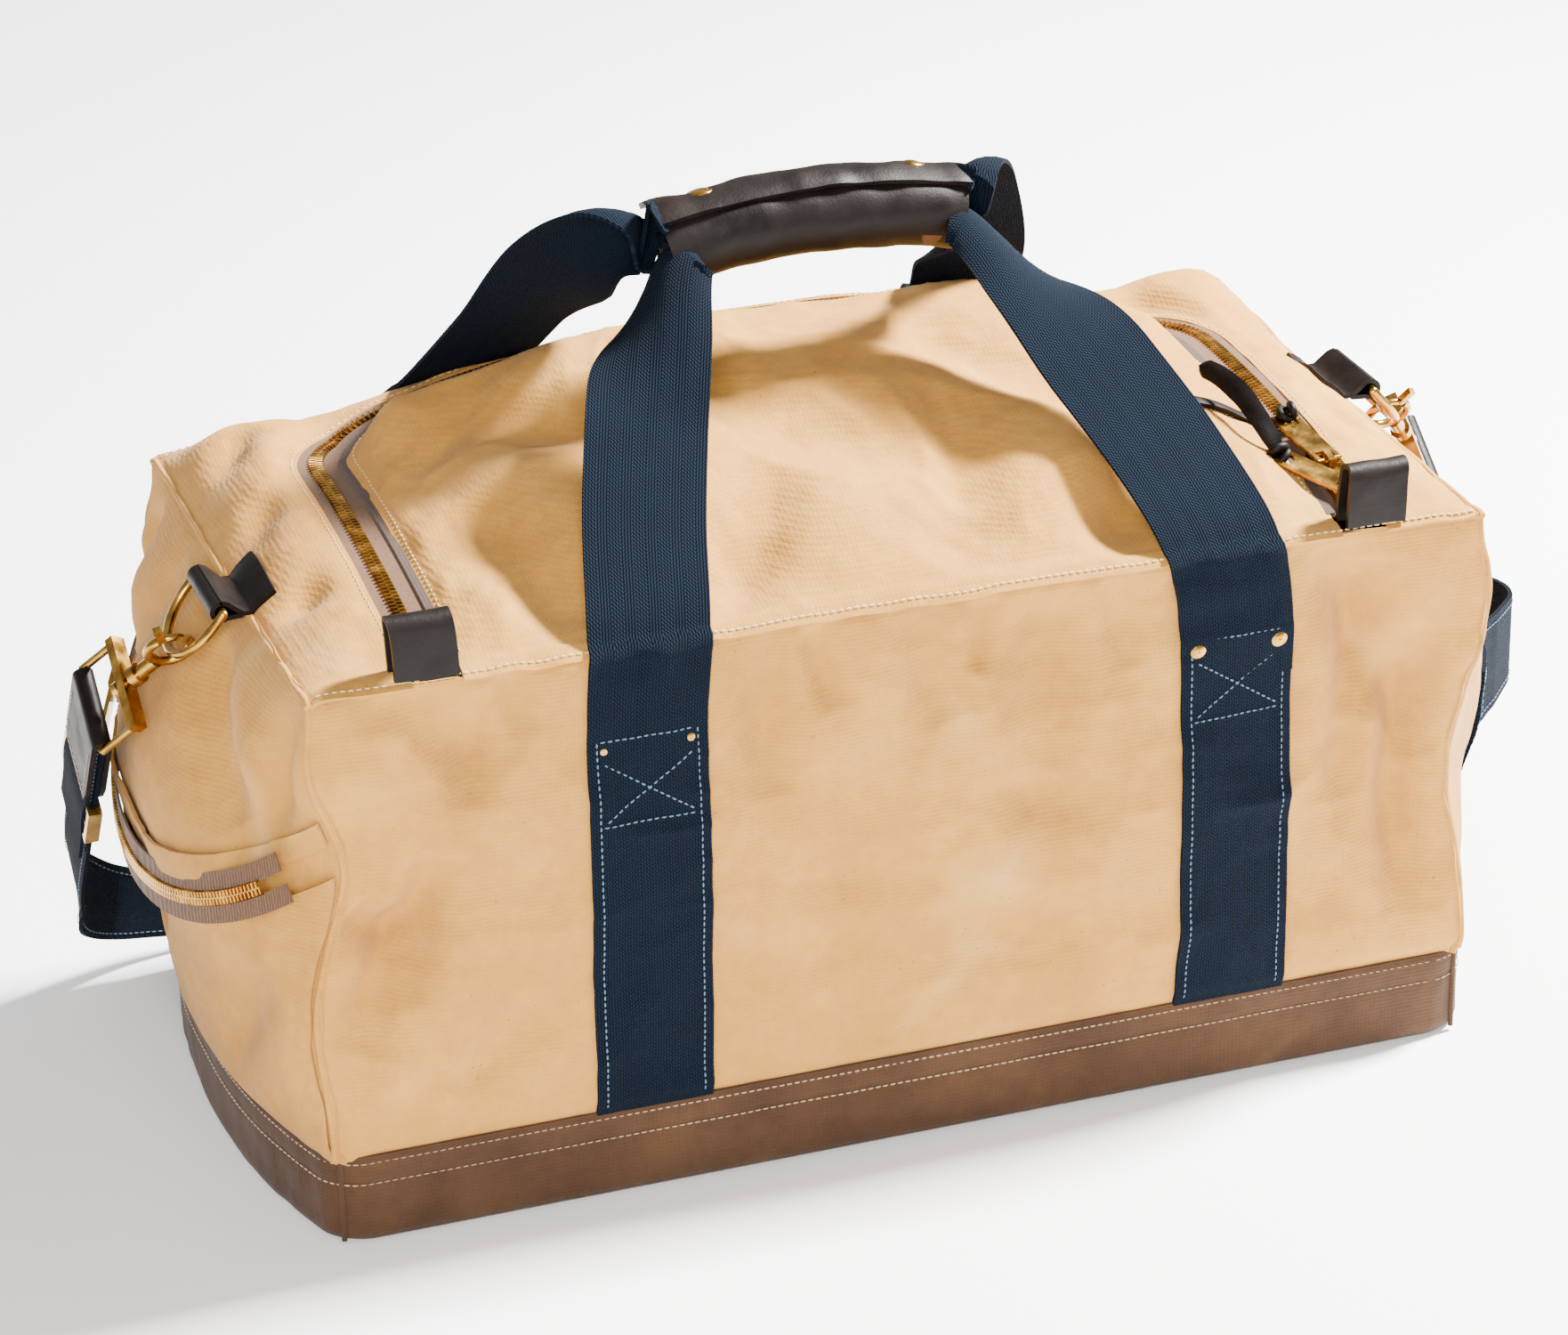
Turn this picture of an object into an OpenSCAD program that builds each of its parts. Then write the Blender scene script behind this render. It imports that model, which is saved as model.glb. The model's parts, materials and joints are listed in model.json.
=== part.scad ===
// Waxed-canvas duffel bag with a U-shaped zip lid, webbing handles and a clip-on shoulder strap.
// Frame: origin on the floor under the middle of the bag, +X along its length, +Z up, front at -Y.
// All sizes are in millimetres. The front and back, and the two ends, are cut alike, so each pair
// is one shape turned half a turn about Z.

/* [Bag body] */
// Length between the corner seams
body_l = 500; // [430:5:620]
// Depth from the front panel to the back panel
body_d = 260; // [225:5:320]
// Height of the seam round the top of the side panels
side_h = 245; // [210:5:300]
// How far a full end panel bulges out
end_bulge = 45; // [30:1:60]
// Thickness of the waxed canvas
canvas_t = 2; // [1.2:0.1:3]
// Gap left at each sewn seam
seam_gap = 0.3; // [0.2:0.1:0.6]

/* [Base] */
// Height of the darker base band
base_h = 40; // [25:1:60]
// Thickness of the doubled base cloth
base_t = 3; // [2:0.1:4]
// Radius of the base's corners
base_r = 14; // [6:1:25]
// Thickness of the stiffening board inside the base
board_t = 3; // [2:0.5:5]
// Clearance between the board and the base walls
board_gap = 1.5; // [0.8:0.1:4]

/* [Lid and main zip] */
// Distance of the zip's straight legs from the middle of the bag
zip_x = 200; // [160:2:220]
// Distance of the zip's back run behind the middle of the bag
zip_back_y = 78; // [60:1:95]
// Radius of the zip's two corners
zip_r = 40; // [25:1:60]
// Rise of the zip's legs above the top seam
leg_rise = 22; // [14:1:30]
// Rise of the full lid above the top seam
crown_h = 52; // [36:1:70]
// Distance of the crest of the top behind the middle of the bag
crest_y = 39; // [20:1:60]
// Distance in front of the middle of the bag of the line where the lid folds
fold_front = 50; // [40:1:60]
// Half width of a closed row of teeth
teeth_w = 4.5; // [3:0.1:6]
// Width of tape that shows on the lid's side of the teeth
tape_lid_w = 8; // [4:0.5:12]
// Width of tape that shows on the body's side of the teeth
tape_body_w = 3; // [2:0.5:8]
// Thickness of the zip tape
tape_t = 1.2; // [0.8:0.1:1.6]
// Width of the leather tab over each end of the zip
tab_w = 26; // [18:1:34]
// Height of that tab's loop
tab_h = 25; // [18:1:32]

/* [Sliders and pulls] */
// Length of a slider
slider_l = 16; // [12:0.5:20]
// Distance of the rear slider in front of the middle of the bag
slider_a_front = 86; // [80:1:92]
// Distance of the forward slider in front of the middle of the bag
slider_b_front = 107; // [104:1:108]
// Length of a zip pull
pull_l = 37; // [26:1:44]
// Width of a zip pull
pull_w = 11; // [9:0.5:13]
// Turn of the rear pull away from the zip, in degrees
pull_a_turn = 8; // [0:1:12]
// Turn of the forward pull away from the zip, in degrees
pull_b_turn = 34; // [32:1:40]
// Running clearance of the metal parts
run_gap = 0.35; // [0.25:0.05:0.6]

/* [Webbing and handles] */
// Width of the webbing of the handles
web_w = 50; // [38:1:52]
// Thickness of the webbing
web_t = 1.8; // [1.4:0.1:2.4]
// Distance of a panel's near band from the middle of the bag
band_near = 115; // [100:1:130]
// Distance of a panel's far band from the middle of the bag
band_far = 140; // [125:1:150]
// Height at which the webbing leaves the panel
band_top = 213; // [190:1:220]
// Height at which the free webbing leans over the top seam
lean_h = 254; // [250:1:262]
// Height of the middle of the closed grip
grip_z = 366; // [340:1:400]
// Radius of the two grips pressed together
grip_r = 11; // [9:0.5:13]
// Length of the leather wrap round the grips
wrap_l = 122; // [100:1:150]
// Radius of the arch in which the wrap is bent
wrap_arch_r = 290; // [220:5:400]
// Thickness of the leather
leather_t = 2.2; // [1.6:0.1:3]
// Diameter of a rivet's head
rivet_d = 9; // [7:0.5:11]

/* [End pocket and end handle] */
// Distance of the pocket zip's ends from the middle of the bag's depth
pocket_half = 118; // [105:1:122]
// Height of the pocket zip's ends
pocket_end_z = 165; // [150:1:175]
// Height of the pocket zip's lowest point
pocket_mid_z = 127; // [110:1:140]
// Distance of the end handle's loop from the bag
grab_off = 34; // [18:1:30]
// Height of the middle of the end handle
grab_z = 124; // [110:1:140]

/* [Rings, hooks and shoulder strap] */
// Width of the shoulder strap
strap_w = 38; // [32:1:40]
// Thickness of the ring's wire
ring_wire = 4; // [3:0.5:5]
// Length of the D-ring below its bar
ring_drop = 28; // [24:1:32]
// Angle of the hanging ring from the vertical, in degrees
ring_lean = 40; // [34:1:48]
// Distance of each ring from the middle of the bag's depth
ring_y = 22; // [10:1:30]
// Lean of the hooks to the back of the bag, in degrees
hook_lean = 36; // [20:1:45]
// Lean of the hooks away from the ends, in degrees
hook_out = 35; // [33:1:45]

/* [Hidden] */

CANVAS = "#d9bd8f";
BROWN = "#6f5340";
NAVY = "#16283d";
LEATHER = "#35261f";
BRASS = "#c9a45a";
TAPE = "#a98559";
BOARD = "#4a4038";

half_l = body_l / 2;
half_d = body_d / 2;
panel_top = side_h - canvas_t - seam_gap;

// ---- General shapes ----

function mix(a, b, t) = a + (b - a) * t;
function unit(v) = v / norm(v);

// A sheet between two faces, each a function of whole steps i and j
module sheet(face, back, nu, nv) {
    count = (nu + 1) * (nv + 1);
    f = function(i, j) i * (nv + 1) + j;
    b = function(i, j) count + f(i, j);
    quads = concat(
        [for (i = [0:nu - 1], j = [0:nv - 1]) [f(i, j), f(i, j + 1), f(i + 1, j + 1), f(i + 1, j)]],
        [for (i = [0:nu - 1], j = [0:nv - 1]) [b(i, j), b(i + 1, j), b(i + 1, j + 1), b(i, j + 1)]],
        [for (i = [0:nu - 1]) [f(i, 0), f(i + 1, 0), b(i + 1, 0), b(i, 0)]],
        [for (i = [0:nu - 1]) [f(i + 1, nv), f(i, nv), b(i, nv), b(i + 1, nv)]],
        [for (j = [0:nv - 1]) [f(0, j + 1), f(0, j), b(0, j), b(0, j + 1)]],
        [for (j = [0:nv - 1]) [f(nu, j), f(nu, j + 1), b(nu, j + 1), b(nu, j)]]);
    polyhedron(
        points = concat(
            [for (i = [0:nu], j = [0:nv]) face(i, j)],
            [for (i = [0:nu], j = [0:nv]) back(i, j)]),
        faces = [for (q = quads, half = [0, 1]) half == 0 ? [q[0], q[1], q[2]] : [q[0], q[2], q[3]]],
        convexity = 6);
}

// A closed bar swept through rings of equal size
module swept(rings) {
    n = len(rings[0]);
    last = len(rings) - 1;
    polyhedron(
        points = [for (r = rings, p = r) p],
        faces = concat(
            [[for (j = [0:n - 1]) j]],
            [[for (j = [n - 1:-1:0]) last * n + j]],
            [for (i = [0:last - 1], j = [0:n - 1]) [i * n + j, (i + 1) * n + j, (i + 1) * n + (j + 1) % n]],
            [for (i = [0:last - 1], j = [0:n - 1]) [i * n + j, (i + 1) * n + (j + 1) % n, i * n + (j + 1) % n]]),
        convexity = 8);
}

function travel(pts, i) = unit(pts[min(i + 1, len(pts) - 1)] - pts[max(i - 1, 0)]);

// Rings of a flat strap: its middle line, the direction its face looks in, and its size.
// A strap with a level start is cut off there along X.
function strap_rings(pts, out, wide, thick, level_start = false) = [
    for (i = [0:len(pts) - 1])
        let (d = travel(pts, i), t = level_start && i == 0 ? unit([0, d[1], d[2]]) : d,
            side = unit(cross(out[i], t)), n = cross(t, side))
            [for (c = [[1, 1], [-1, 1], [-1, -1], [1, -1]])
                pts[i] + side * c[0] * wide[i] / 2 + n * c[1] * thick[i] / 2]
];

module half_turn() rotate([0, 0, 180]) children();

// ---- Shape of the top ----

arc_r = (pow(half_d + crest_y, 2) + pow(leg_rise, 2)) / (2 * leg_rise);
arc_z = side_h + leg_rise - arc_r;
lid_edge = teeth_w + tape_lid_w;
body_edge = teeth_w + tape_body_w;
flat_in = zip_x - lid_edge - 2;
flat_out = zip_x + body_edge + 6;
back_flat = zip_back_y + body_edge;

function leg_z(y) = arc_z + sqrt(pow(arc_r, 2) - pow(y - crest_y, 2));
function rise(y) =
    y <= back_flat ? leg_z(y) - side_h
    : (leg_z(back_flat) - side_h) * cos(90 * (y - back_flat) / (half_d - back_flat));
function across(x) =
    abs(x) < flat_in ? 1 + (crown_h / leg_rise - 1) * (1 - pow(abs(x) / flat_in, 2.5))
    : abs(x) < flat_out ? 1
    : cos(90 * min(1, (abs(x) - flat_out) / (half_l - flat_out)));
function top_z(x, y) = side_h + rise(y) * across(x);
function on_top(x, y, drop = 0) = [x, y, top_z(x, y) - drop];

// ---- Shape of the ends ----

function end_fill(z) = sin(180 * (0.15 + 0.85 * pow(z / side_h, 2)));
function bulge(y, z) = end_bulge * (1 - pow(min(1, abs(y) / half_d), 2.2)) * end_fill(z);
function end_x(y, z) = half_l + bulge(y, z);

module end_skin(off, thick, z_from, z_to, reach, nu = 16, nv = 10) {
    y_at = function(i) mix(-reach, reach, i / nu);
    z_at = function(i, j) mix(z_from, z_to(y_at(i)), j / nv);
    sheet(
        function(i, j) [end_x(y_at(i), z_at(i, j)) + off, y_at(i), z_at(i, j)],
        function(i, j) [end_x(y_at(i), z_at(i, j)) + off - thick, y_at(i), z_at(i, j)],
        nu, nv);
}

// ---- Base ----

function base_corner(y) =
    let (over = max(0, abs(y) - (half_d - base_r)))
        base_r - sqrt(max(0, pow(base_r, 2) - pow(over, 2)));
function base_plan(inset) =
    let (steps = 28, w = half_d - inset,
        right = [for (i = [0:steps])
            let (y = w * sin(mix(-90, 90, i / steps)))
                [end_x(y, base_h) - inset - base_corner(y * half_d / w), y]])
        concat(right, [for (p = right) -p]);

module base_tub() color(BROWN) difference() {
    linear_extrude(base_h) polygon(base_plan(0));
    translate([0, 0, base_t]) linear_extrude(base_h) polygon(base_plan(base_t));
}

module base_board() color(BOARD)
    translate([0, 0, base_t]) linear_extrude(board_t) polygon(base_plan(base_t + board_gap));

// ---- Side panels ----

module long_panel() color(CANVAS)
    translate([-half_l, -half_d, base_h + seam_gap])
        cube([body_l, canvas_t, panel_top - base_h - seam_gap]);
module front_panel() long_panel();
module back_panel() half_turn() long_panel();

module end_panel() color(CANVAS)
    end_skin(0, canvas_t, base_h + seam_gap, function(y) panel_top, half_d - canvas_t - seam_gap);
module right_end_panel() end_panel();
module left_end_panel() half_turn() end_panel();

// ---- Line of the main zip: [x, y, outward x, outward y] at each station ----

leg_end = zip_back_y - zip_r;
corner_x = zip_x - zip_r;
function leg_line(from, to, side = 1) =
    let (n = max(1, ceil(abs(to - from) / 14))) [for (i = [0:n]) [side * zip_x, mix(from, to, i / n), side, 0]];
function corner_line(from, side) = [
    for (a = [from + 11.25:11.25:from + 78.76])
        [side * corner_x + zip_r * cos(a), leg_end + zip_r * sin(a), cos(a), sin(a)]
];
function back_line() = [for (i = [0:20]) [mix(corner_x, -corner_x, i / 20), zip_back_y, 0, 1]];
function u_line(from) = concat(
    leg_line(from, leg_end), corner_line(0, 1), back_line(), corner_line(90, -1), leg_line(leg_end, from, -1));
function zip_rings(line, inner, outer, low, high) = [
    for (s = line) let (z = top_z(s[0], s[1]))
        [for (c = [[inner, high], [outer, high], [outer, low], [inner, low]])
            [s[0] + s[2] * c[0], s[1] + s[3] * c[0], z + c[1]]]
];

teeth_high = 0.6;
teeth_low = -2.2;
tape_high = -0.5;
tape_low = tape_high - tape_t;
chain_gap = 0.25;
tab_depth = 12;
zip_start = -half_d + tab_depth + 2;
fold_y = -fold_front;

module lid_side_tape(line) color(TAPE)
    swept(zip_rings(line, -lid_edge, -teeth_w, tape_low, tape_high));
module lid_side_teeth(line) color(BRASS)
    swept(zip_rings(line, -teeth_w + 0.01, -chain_gap, teeth_low, teeth_high));

module body_zip_tape() color(TAPE)
    swept(zip_rings(u_line(zip_start), teeth_w, body_edge, tape_low, tape_high));
module body_zip_teeth() color(BRASS)
    swept(zip_rings(u_line(zip_start), chain_gap, teeth_w - 0.01, teeth_low, teeth_high));
module front_zip_tape() {
    lid_side_tape(leg_line(zip_start, fold_y - seam_gap));
    lid_side_tape(leg_line(fold_y - seam_gap, zip_start, -1));
}
module front_zip_teeth() {
    lid_side_teeth(leg_line(zip_start, fold_y - seam_gap));
    lid_side_teeth(leg_line(fold_y - seam_gap, zip_start, -1));
}
module lid_zip_tape() lid_side_tape(u_line(fold_y + seam_gap));
module lid_zip_teeth() lid_side_teeth(u_line(fold_y + seam_gap));

// ---- Top: the fixed frame, the fixed front strip and the lid ----

function rim_point(s) =
    let (a = atan2(s[3], abs(s[2])), side = sign(s[0]), x = half_l - seam_gap, y = half_d - seam_gap)
        a == 90 ? [s[0], y]
        : a > 45 ? [side * mix(x, corner_x, (a - 45) / 45), y]
        : a > 0 ? [side * x, mix(leg_end, y, a / 45)]
        : [side * x, s[1]];

module top_panel() color(CANVAS) {
    line = u_line(-half_d + seam_gap);
    last = len(line) - 1;
    edge = body_edge + seam_gap;
    at = function(i, j, drop)
        let (s = line[last - i], p = mix([s[0] + s[2] * edge, s[1] + s[3] * edge], rim_point(s), j / 6))
            on_top(p[0], p[1], drop);
    sheet(function(i, j) at(i, j, 0), function(i, j) at(i, j, canvas_t), last, 6);
}

lid_half = zip_x - lid_edge - seam_gap;

module top_front_panel() color(CANVAS) {
    at = function(i, j, drop)
        on_top(mix(-lid_half, lid_half, i / 20), mix(-half_d + seam_gap, fold_y - seam_gap, j / 6), drop);
    sheet(function(i, j) at(i, j, 0), function(i, j) at(i, j, canvas_t), 20, 6);
}

module lid_flap() color(CANVAS) {
    r = zip_r - lid_edge - seam_gap;
    rows = concat(
        [for (i = [0:7]) [mix(fold_y + seam_gap, leg_end, i / 7), lid_half]],
        [for (a = [15:15:90]) [leg_end + r * sin(a), corner_x + r * cos(a)]]);
    at = function(i, j, drop) on_top(mix(-rows[j][1], rows[j][1], i / 20), rows[j][0], drop);
    sheet(function(i, j) at(i, j, 0), function(i, j) at(i, j, canvas_t), 20, len(rows) - 1);
}

// ---- Leather tabs over the ends of the zip ----

module zip_tab(side) color(LEATHER)
    translate([side * (zip_x + 2) - tab_w / 2, -half_d + tab_depth / 2 + 0.3, side_h + 3.6])
        rotate([90, 0, 90]) linear_extrude(tab_w) difference() {
            union() {
                translate([-tab_depth / 2, 0]) square([tab_depth, tab_h - tab_depth / 2]);
                translate([0, tab_h - tab_depth / 2]) circle(d = tab_depth, $fn = 40);
            }
            translate([-tab_depth / 2 + leather_t, leather_t])
                square([tab_depth - 2 * leather_t, tab_h - tab_depth / 2 - leather_t]);
            translate([0, tab_h - tab_depth / 2]) circle(d = tab_depth - 2 * leather_t, $fn = 32);
        }
module zip_tab_left() zip_tab(-1);
module zip_tab_right() zip_tab(1);

// ---- Bands and rivets ----

hinge_y = -half_d - 2.2;
rivet_drop = 8;
rivet_spread = web_w - 14;

module band(x) color(NAVY)
    translate([x - web_w / 2, -half_d - web_t, base_h + seam_gap])
        cube([web_w, web_t, band_top - 1.9 - base_h - seam_gap]);
module rivets() color(BRASS)
    for (x = [-band_near, band_far], s = [-1, 1])
        translate([x + s * rivet_spread / 2, -half_d - web_t, band_top - rivet_drop])
            rotate([90, 0, 0]) intersection() {
                translate([0, 0, -rivet_d / 2]) sphere(d = rivet_d * 1.5, $fn = 36);
                cylinder(d = rivet_d, h = rivet_d, $fn = 36);
            }
module front_band_left() band(-band_near);
module front_band_right() band(band_far);
module back_band_left() half_turn() band(band_far);
module back_band_right() half_turn() band(-band_near);
module front_rivets() rivets();
module back_rivets() half_turn() rivets();

// ---- Handles ----

// Each end of a handle: a short upright root, then a leg that leans in to the grip
root_from = band_top + 1.3;
root_to = lean_h - 2.4;
root_share = (lean_h - band_top) / (grip_z - band_top);
module handle_root(grip_x) color(NAVY)
    for (x = [-band_near, band_far])
        let (top = mix(x, grip_x + sign(x) * grip_half, root_share))
            translate([0, hinge_y + web_t / 2, 0]) rotate([90, 0, 0]) linear_extrude(web_t)
                polygon([
                    [x - web_w / 2, root_from], [x + web_w / 2, root_from],
                    [top + web_w / 2, root_to], [top - web_w / 2, root_to]
                ]);

grip_mid_x = 3;
grip_half = wrap_l / 2 + 9;
module front_handle_root() handle_root(grip_mid_x);
module back_handle_root() half_turn() handle_root(-grip_mid_x);

arch_z = grip_z - wrap_arch_r;

// Leg of a handle from its root on the band at x (w = 0) to the grip's end (w = 1)
leg_steps = 14;
// The back legs bow out over the swell of the back of the top
back_bow = 13;
module handle_leg(x, grip_x, bow = 0) {
    end_x = grip_x + sign(x) * grip_half;
    top = [end_x, -grip_r / 2 - 0.6, arch_z + sqrt(pow(wrap_arch_r, 2) - pow(grip_half, 2)) - 1];
    foot = [mix(x, end_x, root_share), hinge_y + 0.1, lean_h + 1.2];
    pts = [for (i = [0:leg_steps]) let (w = i / leg_steps)
        [mix(foot[0], top[0], 0.94 * w + 0.06 * pow(w, 6)), mix(foot[1], top[1], w) - bow * 0.5 * sin(180 * w),
            mix(foot[2], top[2], w) + bow * sin(180 * w)]];
    out = [for (p = pts) [0, foot[2] - top[2], top[1] - foot[1]]];
    wide = [for (i = [0:leg_steps]) mix(web_w, 14, pow(i / leg_steps, 6))];
    thick = [for (i = [0:leg_steps]) mix(web_t, 7, pow(i / leg_steps, 5))];
    swept(strap_rings(pts, out, wide, thick, true));
}
// Half of the round grip, bent in the wrap's arch
module grip() {
    span = asin(grip_half / wrap_arch_r);
    translate([grip_mid_x, 0, arch_z]) rotate([90, 0, 0]) rotate([0, 0, 90 - span])
        rotate_extrude(angle = 2 * span, $fn = 360) translate([wrap_arch_r, 0]) intersection() {
            circle(r = grip_r, $fn = 32);
            translate([-grip_r, 0.4]) square([2 * grip_r, grip_r]);
        }
}
module front_handle() color(NAVY) {
    for (x = [-band_near, band_far]) handle_leg(x, grip_mid_x);
    grip();
}
module back_handle() color(NAVY) {
    half_turn() for (x = [-band_near, band_far]) handle_leg(x, -grip_mid_x, back_bow);
    mirror([0, 1, 0]) grip();
}

wrap_in = grip_r + 0.8;
wrap_out = wrap_in + leather_t;
flap_in = wrap_out + 0.4;
flap_out = flap_in + leather_t;
flap_hinge_a = 122;
flap_free_a = 46;
snap_a = 78;
snap_x = 41;
// Bends a section, drawn with 0 degrees to the back and 90 degrees up, along the wrap's arch
module along_arch(length) {
    span = asin(length / 2 / wrap_arch_r);
    translate([grip_mid_x, 0, arch_z]) rotate([90, 0, 0]) rotate([0, 0, 90 - span])
        rotate_extrude(angle = 2 * span, $fn = 360) translate([wrap_arch_r, 0]) rotate(-90) children();
}
module sector(r_in, r_out, a_from, a_to) {
    steps = max(2, ceil((a_to - a_from) / 9));
    polygon(concat(
        [for (i = [0:steps]) let (a = mix(a_from, a_to, i / steps)) r_in * [cos(a), sin(a)]],
        [for (i = [steps:-1:0]) let (a = mix(a_from, a_to, i / steps)) r_out * [cos(a), sin(a)]]));
}
module handle_wrap() color(LEATHER) along_arch(wrap_l) sector(wrap_in, wrap_out, -235, 108);
module wrap_flap() color(LEATHER) along_arch(wrap_l) sector(flap_in, flap_out, flap_free_a, flap_hinge_a - 3);
module at_snaps(r) for (s = [-1, 1])
    translate([grip_mid_x, 0, arch_z]) rotate([0, s * asin(snap_x / wrap_arch_r), 0])
        translate([0, r * cos(snap_a), wrap_arch_r + r * sin(snap_a)]) rotate([snap_a - 90, 0, 0]) children();
module snap_caps() color(BRASS) at_snaps(flap_out + 0.25) cylinder(d1 = 10.5, d2 = 7, h = 2.2, $fn = 36);
module snap_studs() color(BRASS) at_snaps(grip_r + 0.1) cylinder(d = 3.6, h = 0.5, $fn = 24);

// ---- Sliders and pulls, drawn about the middle of the teeth with +Y towards the back ----

plate_t = 2;
slider_half_w = teeth_w + 2.2;
slider_top = teeth_high + run_gap;
arch_w = 3;
arch_l = 8;
bar_r = 1.1;
bar_h = slider_top + plate_t + 1.9;
fork_in = 3.6;
pull_t = 1.8;
pull_start = 5.4;
pull_drop = 1;

module slider(play = run_gap) color(BRASS) {
    low = teeth_low - play;
    for (z = [slider_top + play - run_gap, low - plate_t])
        translate([-slider_half_w, -slider_l / 2, z]) cube([2 * slider_half_w, slider_l, plate_t]);
    for (s = [-1, 1]) translate([s * (slider_half_w - 0.7) - 0.7, -slider_l / 2, 0]) {
        translate([0, 0, tape_high + play]) cube([1.4, slider_l, slider_top + plate_t / 2 - tape_high - play]);
        translate([0, 0, low - plate_t / 2]) cube([1.4, slider_l, tape_low - low - play + plate_t / 2]);
    }
    difference() {
        translate([-arch_w / 2, -arch_l / 2, slider_top + plate_t / 2])
            cube([arch_w, arch_l, bar_h + bar_r + 1.4 - slider_top - plate_t / 2]);
        translate([-arch_w, -arch_l / 2 + 1.4, bar_h - bar_r - run_gap])
            cube([2 * arch_w, arch_l - 2.8, 2 * (bar_r + run_gap)]);
    }
}
module pull() color(BRASS) translate([0, 0, bar_h]) {
    translate([-pull_w / 2, 0, 0]) rotate([0, 90, 0]) cylinder(r = bar_r, h = pull_w, $fn = 20);
    rotate([-pull_drop, 0, 0]) difference() {
        translate([-pull_w / 2, -1.3, -pull_t / 2]) cube([pull_w, pull_l + 1.3, pull_t]);
        translate([-fork_in, -2, -pull_t]) cube([2 * fork_in, pull_start + 2, 2 * pull_t]);
        translate([-pull_w / 2 + 2.2, pull_l - 9, -pull_t]) cube([pull_w - 4.4, 6, 2 * pull_t]);
    }
}
function leg_slope(y) = asin(-(y - crest_y) / arc_r);
module on_leg(y) translate([zip_x, y, leg_z(y)]) rotate([leg_slope(y), 0, 0]) children();
module zip_slider_a() on_leg(-slider_a_front) slider();
module zip_slider_b() on_leg(-slider_b_front) slider();
module zip_pull_a() on_leg(-slider_a_front) rotate([0, 0, pull_a_turn]) pull();
module zip_pull_b() on_leg(-slider_b_front) rotate([0, 0, pull_b_turn]) pull();

// Leather thongs: each is knotted through its pull's window and lies on the lid
thong_w = 8;
thong_t = 1.8;
module thong(pts) color(LEATHER)
    swept(strap_rings(pts, [for (p = pts) [0, 0, 1]], [for (p = pts) thong_w], [for (p = pts) thong_t]));
module knot() rotate([-pull_drop, 0, 0]) translate([0, pull_l - 6, 0])
    for (s = [-1, 1]) translate([0, 0, s * (pull_t / 2 + 1.6)]) cube([5.4, 5, 2.4], center = true);
module thong_a() color(LEATHER) {
    tip = [zip_x - sin(pull_a_turn) * pull_l, -slider_a_front + cos(pull_a_turn) * pull_l, 0];
    on_leg(-slider_a_front) rotate([0, 0, pull_a_turn]) translate([0, 0, bar_h]) knot();
    thong([for (i = [0:8]) let (x = tip[0] - 9 - i * 7.5, y = tip[1] + 6 + i * 1) on_top(x, y, -3.2 - 0.3 * i)]);
}
module thong_b() color(LEATHER) {
    tip = [zip_x - sin(pull_b_turn) * pull_l, -slider_b_front + cos(pull_b_turn) * pull_l, 0];
    on_leg(-slider_b_front) rotate([0, 0, pull_b_turn]) translate([0, 0, bar_h]) knot();
    thong([for (i = [0:8]) let (x = tip[0] - 3 - i * 1.6, y = tip[1] + 5 + i * 6)
        on_top(x, y, -4 - i * 1.6 - 8 * sin(22.5 * i))]);
}

// ---- End pocket: its zip is an arc through its two ends and its lowest point ----

pocket_end = [-end_x(pocket_half, pocket_end_z), 0, pocket_end_z];
pocket_mid = [-end_x(0, pocket_mid_z), 0, pocket_mid_z];
pocket_sag = norm(pocket_mid - pocket_end);
pocket_dir = (pocket_mid - pocket_end) / pocket_sag;
pocket_r = (pow(pocket_half, 2) + pow(pocket_sag, 2)) / (2 * pocket_sag);
pocket_lift = 7;
pocket_c = pocket_mid - pocket_dir * pocket_r - [pocket_lift, 0, 0];
pocket_span = asin((pocket_half - 6) / pocket_r);
pocket_face = acos(-pocket_dir[0]);
pocket_tape = 8;
function pocket_z(y) = pocket_c[2] + pocket_dir[2] * sqrt(pow(pocket_r, 2) - pow(y, 2));

// Frame of the arc: X to its lowest point, Y to the back of the bag, Z along its axis
module pocket_frame() multmatrix([
    [pocket_dir[0], 0, pocket_dir[2], pocket_c[0]],
    [0, 1, 0, pocket_c[1]],
    [pocket_dir[2], 0, -pocket_dir[0], pocket_c[2]],
    [0, 0, 0, 1]
]) children();
// Sweeps a section, drawn with X out of the bag and Y up the panel, along the arc
module pocket_sweep(from, to) pocket_frame() rotate([0, 0, from])
    rotate_extrude(angle = to - from, $fn = 240) translate([pocket_r, 0]) rotate(pocket_face) children();
module pocket_zip_tape() color(TAPE) pocket_sweep(-pocket_span, pocket_span)
    for (s = [-1, 1]) translate([tape_low, s > 0 ? teeth_w : -pocket_tape]) square([tape_t, pocket_tape - teeth_w]);
module pocket_zip_teeth() color(BRASS) pocket_sweep(-pocket_span, pocket_span)
    for (s = [-1, 1]) translate([teeth_low, s > 0 ? chain_gap : -teeth_w + 0.01])
        square([teeth_high - teeth_low, teeth_w - chain_gap - 0.01]);
module end_pocket_panel() color(CANVAS) half_turn()
    end_skin(1.8, 1.5, base_h + seam_gap, function(y) pocket_z(-y) - 9, half_d - canvas_t - seam_gap, 16, 5);
pocket_rest = 40;
module at_pocket_slider() pocket_frame() rotate([0, 0, pocket_rest]) translate([pocket_r, 0, 0])
    rotate([0, -pocket_face, 0]) rotate([0, 90, 0]) rotate([0, 0, 180]) children();
module pocket_slider() at_pocket_slider() slider(run_gap + 0.25);
module pocket_pull() at_pocket_slider() pull();

// ---- End handle ----

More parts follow.
